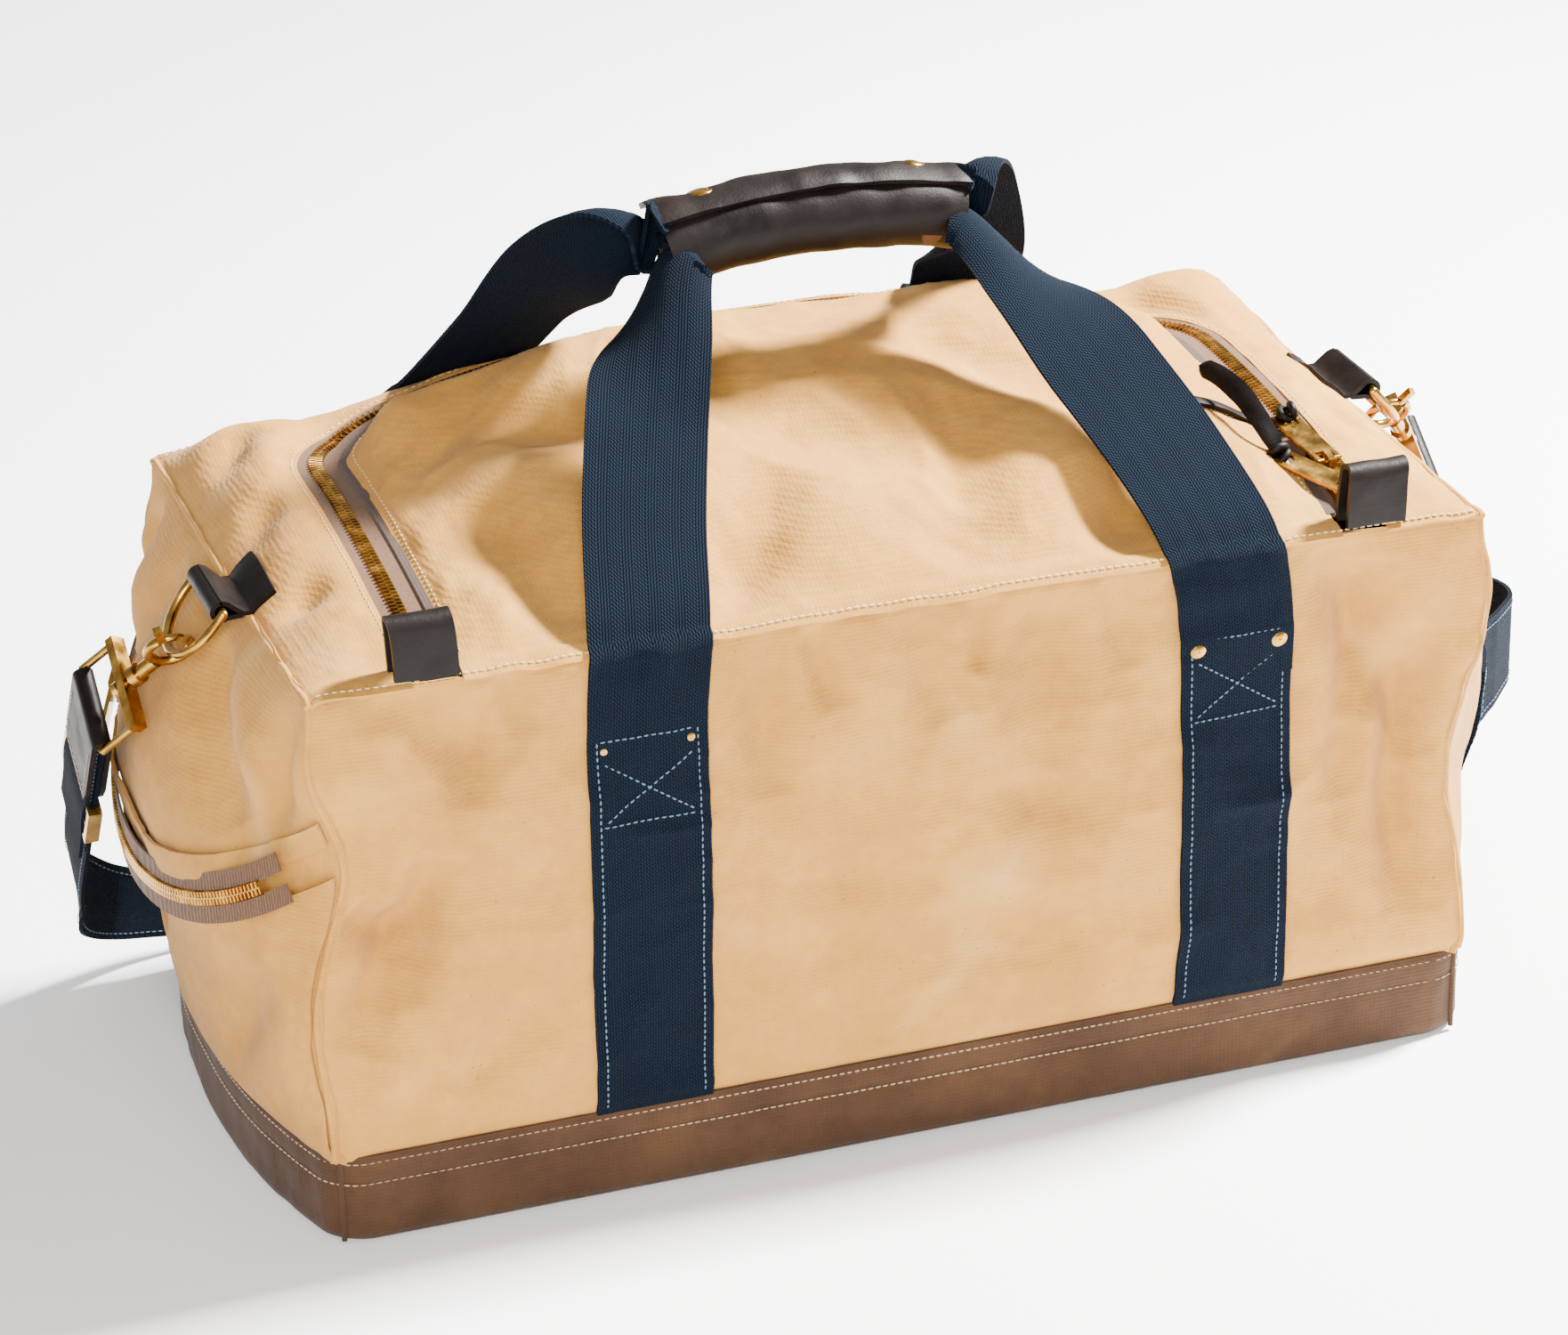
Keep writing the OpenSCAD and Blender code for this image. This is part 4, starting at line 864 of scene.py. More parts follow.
def base():
    profile = [(0.3 * MM, 9 * MM), (0, 6 * MM), (0.7 * MM, 3 * MM), (2.5 * MM, 1 * MM), (6 * MM, 0)]
    profile += [(z, 0) for z in np.linspace(9 * MM, BASE_H - 3 * MM, 14)]
    profile += [(BASE_H - 1 * MM, 0.1 * MM), (BASE_H + 0.4 * MM, 0.6 * MM), (BASE_H + 0.4 * MM, 2.6 * MM)]
    profile += [(BASE_H - 2 * MM, 3 * MM), (BASE_H / 2, 3 * MM), (4 * MM, 3.5 * MM)]
    rings = []
    for z, inset in profile:
        ring = base_outline(inset)
        p3 = np.c_[ring, np.full(len(ring), z)]
        out = unit(ring)
        firm = math.sin(math.pi * min(1, max(0, z / BASE_H)))
        lift = 0.0011 * crumple(p3, 90) * firm + 0.0005 * noise(p3 * [1, 1, 0.3], 0.01, 91) * (z > 0.001)
        belt = 0.0006 * math.exp(-(((z - BASE_H + 12 * MM) / (2 * MM)) ** 2))
        rings.append(p3 + np.c_[out * (lift - belt)[:, None], np.zeros(len(ring))])
    n = len(rings[0])
    points = np.concatenate(rings)
    faces = [(i * n + j, i * n + (j + 1) % n, (i + 1) * n + (j + 1) % n, (i + 1) * n + j)
             for i in range(len(rings) - 1) for j in range(n)]
    faces.append(tuple(range(n - 1, -1, -1)))
    faces.append(tuple((len(rings) - 1) * n + j for j in range(n)))
    ride(build("canvas_base", points, faces, BROWN), "shell", "canvas_brown", "base_tub")

    loop = base_outline(0.0)
    loop = np.concatenate([loop, loop[:1]])
    rows = []
    for z in (BASE_H - 12 * MM, BASE_H - 2.5 * MM):
        p3 = np.c_[loop, np.full(len(loop), z)]
        out = np.c_[unit(loop), np.zeros(len(loop))]
        lift = 0.0011 * crumple(p3, 90) * math.sin(math.pi * z / BASE_H)
        rows.append((p3 + out * lift[:, None] + out * 0.1 * MM, out))
    ride(stitches("base_topstitch", rows, UMBER), "shell", "canvas_brown")
    # Upright seams where the base's long sides meet its ends
    ribs = []
    for sx in (-1, 1):
        for sy in (-1, 1):
            zs = np.linspace(2 * MM, BASE_H, 12)
            corner = np.full((12, 2), [sx * (HALF_L - 2.5 * MM), sy * (HALF_D - 3.6 * MM)])
            ribs.append(tube("rib", np.c_[corner, zs], 1.1 * MM, BROWN, 8))
    ride(join("base_corner_seams", ribs), "shell", "canvas_brown")


# ---- Seams and topstitching ----

def seam_ridges():
    """Seam allowances that show as a soft rib along the bag's edges."""
    ribs = []
    zs = np.linspace(BASE_H, SIDE_H - 1.5 * MM, 80)
    for sx in (-1, 1):
        for sy in (-1, 1):
            a = side_point(np.full(80, sx * HALF_L), zs, sy)
            ribs.append(tube("rib", a + np.array([-sx, -sy, 0]) * 0.2 * MM, 1.5 * MM, TAN, 8))
    xs = np.linspace(-HALF_L, HALF_L, 160)
    a = top_point(xs, np.full(160, HALF_D))
    ribs.append(tube("rib", a, 1.5 * MM, TAN, 8))
    ys = np.linspace(-HALF_D, HALF_D, 90)
    for sx in (-1, 1):
        ribs.append(tube("rib", top_point(np.full(90, sx * HALF_L), ys), 1.6 * MM, TAN, 8))
    ride(join("edge_seams", ribs), "shell", "canvas_tan")
    xs = np.linspace(-HALF_L + 2 * MM, HALF_L - 2 * MM, 400)
    rows = []
    up = np.tile([0, -0.5, 0.85], (400, 1))
    for y, lift in ((-HALF_D + 2.2 * MM, 0.25), (HALF_D - 5 * MM, 0.2)):
        p = top_point(xs, np.full(400, y))
        rows.append((p + np.array([0, 0, lift * MM]), up * [1, np.sign(y), 1]))
    ride(stitches("top_seam_topstitch", rows, ECRU, size=0.48 * MM), "shell", "canvas_tan")
    # Two rows beside the zip: one on the lid, one on its frame
    line = zip_line(teeth_box[0].y, 2 * MM)
    for name, offset in (("frame_topstitch", BODY_EDGE + 2.6 * MM), ("lid_topstitch", -LID_EDGE - 3.2 * MM)):
        xy = line[:, :2] + line[:, 2:] * offset
        p = top_point(xy[:, 0], xy[:, 1]) + np.array([0, 0, 0.1 * MM])
        row = stitches(name, [(p, np.tile([0, 0, 1.0], (len(p), 1)))], ECRU, size=0.34 * MM)
        if name == "lid_topstitch":
            bend_lid(row, "canvas_tan")
        else:
            ride(row, "shell", "canvas_tan")


# ---- Webbing bands and handles ----

def clear_cloth(grid, side):
    """Pushes webbing that would lie inside the bag out to just over its cloth."""
    x, y, z = grid[..., 0], grid[..., 1], grid[..., 2]
    wall = np.abs(side_point(x, np.minimum(z, SIDE_H - 6 * MM), side)[..., 1]) + WEB_T + 0.3 * MM
    wall = wall * (1 - smooth(SIDE_H - 2 * MM, SIDE_H + 3 * MM, z) * 0.012)
    y = np.where(z < SIDE_H + 3 * MM, side * np.maximum(np.abs(y), wall), y)
    over = top_point(x, np.clip(y, -HALF_D, HALF_D))[..., 2] + WEB_T + 0.5 * MM
    z = np.where((np.abs(y) < HALF_D) & (z > SIDE_H), np.maximum(z, over), z)
    return np.stack([x, y, z], -1)


def strip(name, centre, across, normal, width, material, thick=WEB_T, crown=0.4 * MM, v0=0.0, columns=13, curl=None,
          side=0):
    """Flat webbing along a path. across and normal are its directions, and curl rolls its edges inward."""
    centre = np.asarray(centre, float)
    n = len(centre)
    across, normal = unit(np.broadcast_to(across, (n, 3))), unit(np.broadcast_to(normal, (n, 3)))
    width = np.broadcast_to(np.asarray(width, float), (n,))
    curl = np.zeros(n) if curl is None else np.broadcast_to(np.asarray(curl, float), (n,))
    u = np.linspace(-1, 1, columns)
    grid = np.zeros((columns, n, 3))
    for i in range(n):
        a = curl[i] * u
        flat = width[i] / 2
        if curl[i] > 1e-3:
            radius = WEB_W / 2 / max(curl[i], 1e-3)
            x, z = radius * np.sin(a), radius * (np.cos(a) - 1)
            squeeze = min(1, flat / max(np.abs(x).max(), 1e-6))
            x = x * squeeze
        else:
            x, z = flat * u, -crown * u * u
        grid[:, i] = centre[i] + x[:, None] * across[i] + z[:, None] * normal[i]
    if side:
        grid = clear_cloth(grid, side)
    s = run_along(centre) + v0
    uv = grid_uv((u + 1) * WEB_W / 2, s)
    facing = np.einsum("ijk,jk->", grid_normals(grid), normal) > 0
    return slab(name, grid, thick, material, flip=not facing, uv=uv)


STITCH_Z = (BAND_TOP - 40 * MM, BAND_TOP - 3.5 * MM)


def band(name, x, side, node):
    """The webbing sewn flat on the front or back, from the base up to the handle's foot."""
    xs = x + np.linspace(-1, 1, 13) * WEB_W / 2
    zs = np.linspace(BASE_H - 0.5 * MM, FOOT_Z, 120)
    grid = side_point(*np.meshgrid(xs, zs, indexing="ij"), side) + np.array([0, side * (WEB_T + CLEAR), 0])
    uv = grid_uv(np.linspace(0, WEB_W, 13), zs)
    ride(slab(name, grid, WEB_T, NAVY, flip=side > 0, uv=uv), "shell", "webbing_navy", node)


def on_band(x, side, dx, z):
    """A row of stitch points on a band, with its normals."""
    p = side_point(x + dx, z, side) + np.array([0, side * (WEB_T + CLEAR + 0.15 * MM), 0])
    return p, np.tile([0, side, 0.0], (len(p), 1))


def band_stitches(name, x, side):
    """Two long rows, and the box with its cross where the handle is sewn on."""
    edge = WEB_W / 2 - 4 * MM
    rows = []
    for s in (-1, 1):
        z = np.linspace(BASE_H + 2 * MM, STITCH_Z[1], 80)
        rows.append(on_band(x, side, s * edge + 0 * z, z))
    lo, hi = STITCH_Z
    dx = np.linspace(-edge, edge, 30)
    for z in (lo, hi):
        rows.append(on_band(x, side, dx, z + 0 * dx))
    t = np.linspace(0.04, 0.96, 30)
    for a, b in ((-1, 1), (1, -1)):
        rows.append(on_band(x, side, mix(a * edge, b * edge, t), mix(lo, hi - 8 * MM, t)))
    ride(stitches(name, rows, SKY, pitch=3 * MM, length=2 * MM, size=0.36 * MM), "shell", "webbing_navy")


ROOT_SPLIT = (BAND_TOP + LEAN_H) / 2


def leg_path(side, x_band, x_top, label):
    """Points of a handle leg's middle line from the band to the wrap: x, y, z and width."""
    low_y, grip_y = HALF_D + 2.2 * MM, 6 * MM
    rows = [(x_band, side * low_y, FOOT_Z, WEB_W)]
    for z, fx, fy, w in LEG_SHAPE[label]:
        rows.append((mix(x_band, x_top, fx), side * mix(low_y, grip_y, fy), z * MM, w * MM))
    return rows


# Height in millimetres, share of the way in along X and along Y, and width in millimetres
LEG_SHAPE = {
    "front": [(213, 0.01, 0.0, 50), (234, 0.04, 0.0, 50), (256, 0.1, 0.08, 50), (282, 0.24, 0.3, 50),
              (308, 0.43, 0.53, 50), (332, 0.62, 0.74, 48), (350, 0.76, 0.88, 40), (361, 0.89, 0.97, 27),
              (364, 1.0, 1.0, 20)],
    "back": [(213, 0.01, 0.0, 50), (234, 0.04, 0.0, 50), (256, 0.1, 0.08, 50), (284, 0.22, 0.34, 50),
             (318, 0.38, 0.6, 50), (348, 0.58, 0.78, 49), (364, 0.76, 0.9, 42), (368, 0.9, 0.97, 28),
             (365, 1.0, 1.0, 20)],
}


def handle_leg(hand, side, x_band, x_top, label):
    """A leg of the front or back handle, in two pieces split about halfway up the handle's root: the foot, sewn flat on
    the band, and the leg above it.
    """
    name, root, grip = f"{label}_handle_{hand}", label + "_root", label + "_grip"
    path = curve_through(leg_path(side, x_band, x_top, label), 110)
    centre, width = path[:, :3], path[:, 3]
    tangent = unit(np.gradient(centre, axis=0))
    lean = smooth(BAND_TOP, LEAN_H + 20 * MM, centre[:, 2])[:, None]
    flat = np.tile([1.0, 0, 0], (len(centre), 1))
    across = unit(flat - tangent * np.sum(flat * tangent, -1, keepdims=True) * lean)
    normal = np.cross(tangent, across) * -side
    normal = np.where(np.sum(normal * [0, side, 0.3], -1, keepdims=True) < 0, -normal, normal)
    # Near the wrap the webbing turns and rolls up on itself
    near = smooth(0.62, 1.0, np.linspace(0, 1, len(centre)))
    twist = near * 1.05 * np.sign(x_band)
    c, s = np.cos(twist)[:, None], np.sin(twist)[:, None]
    across, normal = across * c + normal * s * side, normal * c - across * s * side
    curl = 0.02 + 1.9 * near**1.6
    cut = int(np.argmin(np.abs(centre[:, 2] - ROOT_SPLIT)))
    foot, leg = slice(None, cut + 1), slice(cut, None)
    on_cloth = on_panel(centre, side) + np.array([0, side * CLEAR, 0])
    lower = strip(name + "_foot", on_cloth[foot], across[foot], normal[foot], width[foot], NAVY,
                  v0=centre[0, 2], side=side)
    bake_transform(lower)
    upper = strip(name + "_leg", on_cloth[leg], across[leg], normal[leg], width[leg], NAVY,
                  v0=centre[0, 2] + run_along(centre[foot])[-1], curl=curl[leg], side=side)
    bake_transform(upper)
    return lower, upper


def on_panel(centre, side):
    """Keeps the sewn part of a leg flat on the cloth."""
    out = centre.copy()
    sewn = 1 - smooth(BAND_TOP - 2 * MM, BAND_TOP + 14 * MM, centre[:, 2])
    cloth = side_point(centre[:, 0], np.minimum(centre[:, 2], SIDE_H - 6 * MM), side)[:, 1] + side * WEB_T
    out[:, 1] = mix(centre[:, 1], cloth, sewn)
    return out


def handles():
    near, far = ((lo.x + hi.x) / 2 for lo, hi in (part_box("front_band_left"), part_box("front_band_right")))
    for side, label in ((-1, "front"), (1, "back")):
        xs = (near, far) if side < 0 else (-far, -near)
        pieces = []
        for x, hand in zip(xs, ("left", "right")):
            band(f"{label}_band_web_{hand}", x, side, f"{label}_band_{hand}")
            band_stitches(f"{label}_band_stitches_{hand}", x, side)
            x_top = GRIP_X + (WRAP_HALF - 4 * MM) * (-1 if hand == "left" else 1)
            pieces += handle_leg(hand, side, x, x_top, label)
        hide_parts(label + "_handle_root")
        ride(grip_core(label, side), label + "_grip", "webbing_navy", label + "_handle")


def arch_point(x):
    return GRIP_Z - ARCH_R + np.sqrt(ARCH_R**2 - (x - GRIP_X) ** 2)


def grip_core(label, side):
    """The rolled webbing inside the wrap."""
    xs = np.linspace(GRIP_X - WRAP_HALF + 1 * MM, GRIP_X + WRAP_HALF - 1 * MM, 40)
    path = np.c_[xs, np.full(40, side * 5.2 * MM), arch_point(xs)]
    return tube(f"{label}_grip_core", path, 4.9 * MM, NAVY, 16)


def wrap_grid(radius_at, a0, a1, half, ruffle=0.0, columns=40, count=64):
    """Outer face of leather bent round the grip from angle a0 to a1; 0 is the back and 90 degrees the top."""
    angles = np.linspace(a0, a1, columns)
    a = np.radians(angles)
    xs = np.linspace(GRIP_X - half, GRIP_X + half, count)
    grid = np.zeros((columns, count, 3))
    for i, x in enumerate(xs):
        tilt = (x - GRIP_X) / ARCH_R
        r = radius_at(angles) + ruffle * noise(np.stack([a * 0.012, 0 * a + x, 0 * a], -1), 0.011, 7)
        up = np.array([math.sin(tilt), 0, math.cos(tilt)])
        centre = np.array([GRIP_X + ARCH_R * math.sin(tilt), 0, GRIP_Z - ARCH_R + ARCH_R * math.cos(tilt)])
        grid[:, i] = centre + (r * np.sin(a))[:, None] * up + (r * np.cos(a))[:, None] * np.array([0, 1, 0])
    return grid


def wrap_radius(angle):
    """The wrap's front swells to the height of the flap, which folds back over the top from it."""
    return 14 * MM + 2.5 * MM * smooth(160, 128, angle) * smooth(112, 120, angle)


def leather_wrap():
    t = STRAP_LEATHER_T
    body = slab("leather_wrap", wrap_grid(wrap_radius, -235, 127, WRAP_HALF, 0.0005, 56), t, LEATHER, flip=True)
    ride(body, "front_grip", "leather_dark", "handle_wrap")
    flap = wrap_grid(lambda a: 16.7 * MM + 0 * a, 46, 126.6, WRAP_HALF + 1 * MM, 0.0009, 24)
    # One corner of the flap curls up
    corner = np.exp(-((flap[..., 0] - GRIP_X + WRAP_HALF) / (9 * MM)) ** 2)
    corner = corner * smooth(0.35, 1, np.linspace(1, 0, 24))[:, None]
    flap = flap + corner[..., None] * np.array([-1.5 * MM, 0, 2.2 * MM])
    ride(slab("leather_wrap_flap", flap, t, LEATHER, flip=True), "flap", "leather_dark", "wrap_flap")
    # A turned strip of the flesh side shows along the lower front of the wrap
    trim = wrap_grid(lambda a: 14.6 * MM + 0 * a, 208, 240, WRAP_HALF - 1 * MM, 0.0004, 10)
    ride(slab("wrap_flesh_edge", trim, 1 * MM, FLESH, flip=True), "front_grip", "leather_dark")


def snap_domes():
    """Two brass snaps on the flap, each a low dome with a rolled rim."""
    lo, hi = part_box("snap_caps")
    centres = []
    for x in (lo.x + 5.2 * MM, hi.x - 5.2 * MM):
        tilt = math.asin((x - GRIP_X) / ARCH_R)
        angle = math.radians(79)
        up = np.array([math.sin(tilt), 0, math.cos(tilt)])
        normal = up * math.sin(angle) + np.array([0, math.cos(angle), 0])
        middle = np.array([GRIP_X, 0, GRIP_Z - ARCH_R]) + up * ARCH_R
        centres.append((middle + normal * 16.6 * MM, normal))
    # Radius and height in millimetres, from the middle out
    profile = [(0, 2.9), (1.6, 2.8), (3.2, 2.4), (4.3, 1.9), (4.6, 1.6), (5.2, 1.9), (5.9, 1.5), (6.1, 0.8), (5.8, 0.1)]
    domes = []
    for centre, normal in centres:
        side = unit(np.cross(normal, [0, 1.0, 0]))
        other = np.cross(normal, side)
        turns = np.linspace(0, 2 * math.pi, 33)[:-1]
        grid = [[centre + (side * math.cos(t) + other * math.sin(t)) * r * MM + normal * h * MM for t in turns]
                for r, h in profile]
        points = np.array(grid).reshape(-1, 3)
        faces = [(i * 32 + j, (i + 1) * 32 + j, (i + 1) * 32 + (j + 1) % 32, i * 32 + (j + 1) % 32)
                 for i in range(len(profile) - 1) for j in range(32)]
        faces.append(tuple((len(profile) - 1) * 32 + j for j in range(31, -1, -1)))
        domes.append(build("dome", points, faces, BRASS, sharp=50))
    ride(join("snap_domes", domes), "flap", "brass", "snap_caps")


# ---- Leather tabs ----

# The bar that each D-ring turns on
BAR_X, BAR_Z = HALF_L + 12 * MM, SIDE_H + 3 * MM


def loop_profile(depth, height):
    """Outer line of a standing loop of leather: up one side, over and down."""
    r = depth / 2
    left = [(-r, z) for z in np.linspace(0, height - r, 8)]
    over = [(-r * math.cos(a), height - r + r * math.sin(a)) for a in np.linspace(0, math.pi, 14)[1:-1]]
    right = [(r, z) for z in np.linspace(height - r, 0, 8)]
    return np.array(left + over + right)


def zip_tab(name, node, side):
    """A standing loop of leather over an end of the zip, leaning a little outward."""
    lo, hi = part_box(node)
    depth, height = hi.y - lo.y, hi.z - lo.z
    profile = loop_profile(depth, height + 1.5 * MM)
    xs = np.linspace(lo.x, hi.x, 16)
    grid = np.zeros((len(profile), len(xs), 3))
    for i, (py, pz) in enumerate(profile):
        lean = 0.06 * (pz / height) * side
        wob = 0.0005 * noise(np.stack([xs, 0 * xs + py, 0 * xs + pz], -1), 0.009, 12)
        grid[i, :, 0] = xs + lean * pz
        grid[i, :, 1] = (lo.y + hi.y) / 2 + py * (1 + 0.05 * math.sin(pz * 200)) + wob
        grid[i, :, 2] = lo.z - 1.5 * MM + pz + wob
    ride(slab(name, grid, STRAP_LEATHER_T, LEATHER, flip=True), "shell", "leather_dark", node)


def ring_tab(name, node, side):
    """Leather that comes out of the top seam, rolls over the ring's bar and goes back in."""
    lo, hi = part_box(node)
    r = 4.7 * MM
    rows = [(mix(-22 * MM, 0, f), r + 0.4 * MM) for f in np.linspace(0, 1, 8)]
    rows += [(r * math.cos(a), r * math.sin(a)) for a in np.radians(np.linspace(90, -120, 18))]
    rows.append((-9 * MM, -3.6 * MM))
    ys = np.linspace(lo.y - 1 * MM, hi.y + 1 * MM, 22)
    grid = np.zeros((len(rows), len(ys), 3))
    for i, (px, pz) in enumerate(rows):
        x, z = side * (BAR_X + px), BAR_Z + pz
        sag = 0
        if px < 0 and pz > 0:
            sag = (top_point(x, ys)[:, 2] + 2.4 * MM - z) * smooth(0, 12 * MM, -px)
        grid[i] = np.stack([0 * ys + x, ys, 0 * ys + z + sag], -1)
    ride(slab(name, grid, 2.0 * MM, LEATHER, flip=side < 0), "shell", "leather_dark", node)


# ---- End pocket ----

def pocket_point(angle, up, out):
    """A point beside the pocket's zip: up along the panel from the line, and out from it."""
    radial = np.cos(angle)[..., None] * POCKET_DIR + np.sin(angle)[..., None] * np.array([0, 1.0, 0])
    line = POCKET_C + POCKET_R * radial
    face = math.acos(-POCKET_DIR[0])
    outward = math.cos(face) * radial + math.sin(face) * POCKET_AXIS
    upward = -math.sin(face) * radial + math.cos(face) * POCKET_AXIS
    return line + np.asarray(up)[..., None] * upward + np.asarray(out)[..., None] * outward, outward, upward


def pocket_lip(name, lift, near, far):
    """A strip of the left end's cloth that follows the zip; near and far are distances above it."""
    ys = np.linspace(-HALF_D + 3 * MM, HALF_D - 3 * MM, 150)
    grid = np.zeros((12, 150, 3))
    for i, f in enumerate(np.linspace(0, 1, 12)):
        z = pocket_arc(ys)[1] + mix(near, far, f)
        grid[i] = end_point(ys, z, -1, lift)
    return slab(name, grid, lift, TAN, flip=True)


def end_pocket():
    ys = np.linspace(-HALF_D + 2 * MM, HALF_D - 2 * MM, 150)
    grid = np.zeros((60, 150, 3))
    for i, f in enumerate(np.linspace(0, 1, 60)):
        z = mix(BASE_H - 0.5 * MM, pocket_arc(ys)[1] - 7.5 * MM, f)
        grid[i] = end_point(ys, z, -1, 1.7 * MM * smooth(0, 0.08, f) + 0.2 * MM)
    ride(slab("end_pocket_cloth", grid, 1.5 * MM, TAN, flip=True), "shell", "canvas_tan", "end_pocket_panel")
    ride(pocket_lip("end_pocket_upper_lip", 1.5 * MM, 7.5 * MM, 19 * MM), "shell", "canvas_tan")
    a = np.linspace(-TAPE_SPAN, TAPE_SPAN, 120)
    tapes = []
    for sign in (-1, 1):
        up = np.linspace(2.6 * MM, 10.5 * MM, 5) * sign
        grid = pocket_point(*np.broadcast_arrays(a[None, :], up[:, None], -0.6 * MM))[0]
        tapes.append(slab("tape", grid, 1 * MM, TAPE, flip=sign < 0))
    ride(join("pocket_zip_tapes", tapes), "shell", "zip_tape", "pocket_zip_tape")
    rows = []
    for sign in (-1, 1):
        step = TOOTH_PITCH / POCKET_R
        at = np.arange(-POCKET_SPAN, POCKET_SPAN, step) + (step / 2 if sign > 0 else 0)
        p, outward, upward = pocket_point(at, 0 * at, 0 * at)
        along = np.cross(outward, upward)
        rows.append(teeth("row", [(p[i], along[i], upward[i] * sign) for i in range(len(at))], outward))
    ride(join("pocket_zip_tooth_rows", rows), "shell", "brass", "pocket_zip_teeth")
    sewn = []
    normal = np.tile([-1.0, 0, 0.1], (150, 1))
    for offset, lift in ((10, 1.7), (15, 1.7), (-10.5, 2.1)):
        sewn.append((end_point(ys, pocket_arc(ys)[1] + offset * MM, -1, lift * MM), normal))
    ride(stitches("pocket_topstitch", sewn, ECRU, size=0.36 * MM), "shell", "canvas_tan")


# ---- End handle ----

def end_handle():
    lo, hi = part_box("end_grab_handle")
    grab_z, reach, half = (lo.z + hi.z) / 2, hi.x, 62 * MM
    ys = np.linspace(lo.y, hi.y, 90)
    share = np.where(np.abs(ys) < half, np.cos(np.pi / 2 * np.clip(ys / half, -1, 1)) ** 2, 0)
    cloth = end_point(ys, 0 * ys + grab_z, 1)[:, 0] + 1.6 * MM
    span = reach - end_x(0, grab_z) - 3 * MM
    path = np.c_[cloth + span * share, ys, np.full(90, grab_z)]
    width = mix(WEB_W, WEB_W - 9 * MM, share)
    grid = np.zeros((11, 90, 3))
    for i, u in enumerate(np.linspace(-1, 1, 11)):
        z = grab_z + u * width / 2
        flat = end_point(ys, z, 1)[:, 0] + 2 * MM
        grid[i] = np.c_[np.maximum(mix(flat, path[:, 0], smooth(0, 0.25, share)), flat), ys, z]
    s = run_along(path)
    uv = grid_uv(np.linspace(0, WEB_W, 11), s)
    facing = grid_normals(grid)[..., 0].sum() > 0
    web = slab("end_handle_web", grid, 2 * MM, NAVY, flip=not facing, uv=uv)
    ride(web, "shell", "webbing_navy", "end_grab_handle")
    lines = [mix(grid[5], grid[5 + 5 * u], 0.84) for u in (-1, 1)]
    for y in (-half - 4 * MM, -half - 19 * MM, half + 4 * MM, half + 19 * MM):
        lines.append(grid[1:-1, int(np.argmin(np.abs(ys - y)))])
    rows = [(p + np.array([0.2 * MM, 0, 0]), np.tile([1.0, 0, 0], (len(p), 1))) for p in lines]
    ride(stitches("end_handle_stitches", rows, SKY, size=0.36 * MM), "shell", "webbing_navy")


# ---- Shoulder strap ----

RING_LEAN, HOOK_LEAN, HOOK_OUT = math.radians(40), math.radians(36), math.radians(35)
STRAP_W = 38 * MM
RING_DROP, EYE_DROP = 28 * MM, 50 * MM


def hang(side, out, across, down):
    """A point on the hanging start of the strap: out from the bag, across the strap, and down from the ring's end."""
    x = BAR_X + RING_DROP * math.sin(RING_LEAN) + out
    z0 = BAR_Z - RING_DROP * math.cos(RING_LEAN)
    out, across, down = np.broadcast_arrays(x, np.asarray(across, float), np.asarray(down, float))
    c, s = math.cos(HOOK_LEAN), math.sin(HOOK_LEAN)
    return np.stack([side * out, side * 22 * MM + across * c + down * s, z0 + across * s - down * c], -1)


EYE_OUT, EYE_DOWN = EYE_DROP * math.sin(HOOK_OUT), EYE_DROP * math.cos(HOOK_OUT)


def strap_end(name, node, side):
    """Leather that folds over the hook's bar and is sewn and riveted down on both faces of the strap."""
    r, length = 4.3 * MM, 46 * MM
    flat = np.linspace(1, 0, 12)
    outer = [(-r, length * f) for f in flat]
    outer += [(-r * math.cos(a), -r * math.sin(a)) for a in np.linspace(0.2, 2.94, 10)]
    outer += [(r, length * f) for f in flat[::-1]]
    grid = np.zeros((len(outer), 15, 3))
    for i, (out, down) in enumerate(outer):
        for j, u in enumerate(np.linspace(-1, 1, 15)):
            taper = 1 - 0.12 * smooth(length - 9 * MM, length, down) * abs(u) ** 3
            grid[i, j] = hang(side, EYE_OUT + out, u * (STRAP_W / 2 - 1 * MM) * taper, EYE_DOWN + down)
    n = grid_normals(grid)
    flip = (n[0, 7, 0] * side) > 0
    ride(slab(name, grid, STRAP_LEATHER_T, LEATHER, flip=flip), "shell", "leather_dark", node)
    rows = []
    edge, last = STRAP_W / 2 - 4 * MM, length - 3 * MM
    d, u = np.linspace(8 * MM, last, 20), np.linspace(-1, 1, 20) * edge
    for face in (-1, 1):
        for across, down in ((-edge, d), (edge, d), (u, last)):
            p = hang(side, EYE_OUT + face * (r + 0.1 * MM), across, EYE_DOWN + down)
            rows.append((p, np.tile([face * side * 1.0, 0, 0], (20, 1))))
    ride(stitches(name + "_stitches", rows, UMBER, size=0.34 * MM), "shell", "leather_dark")


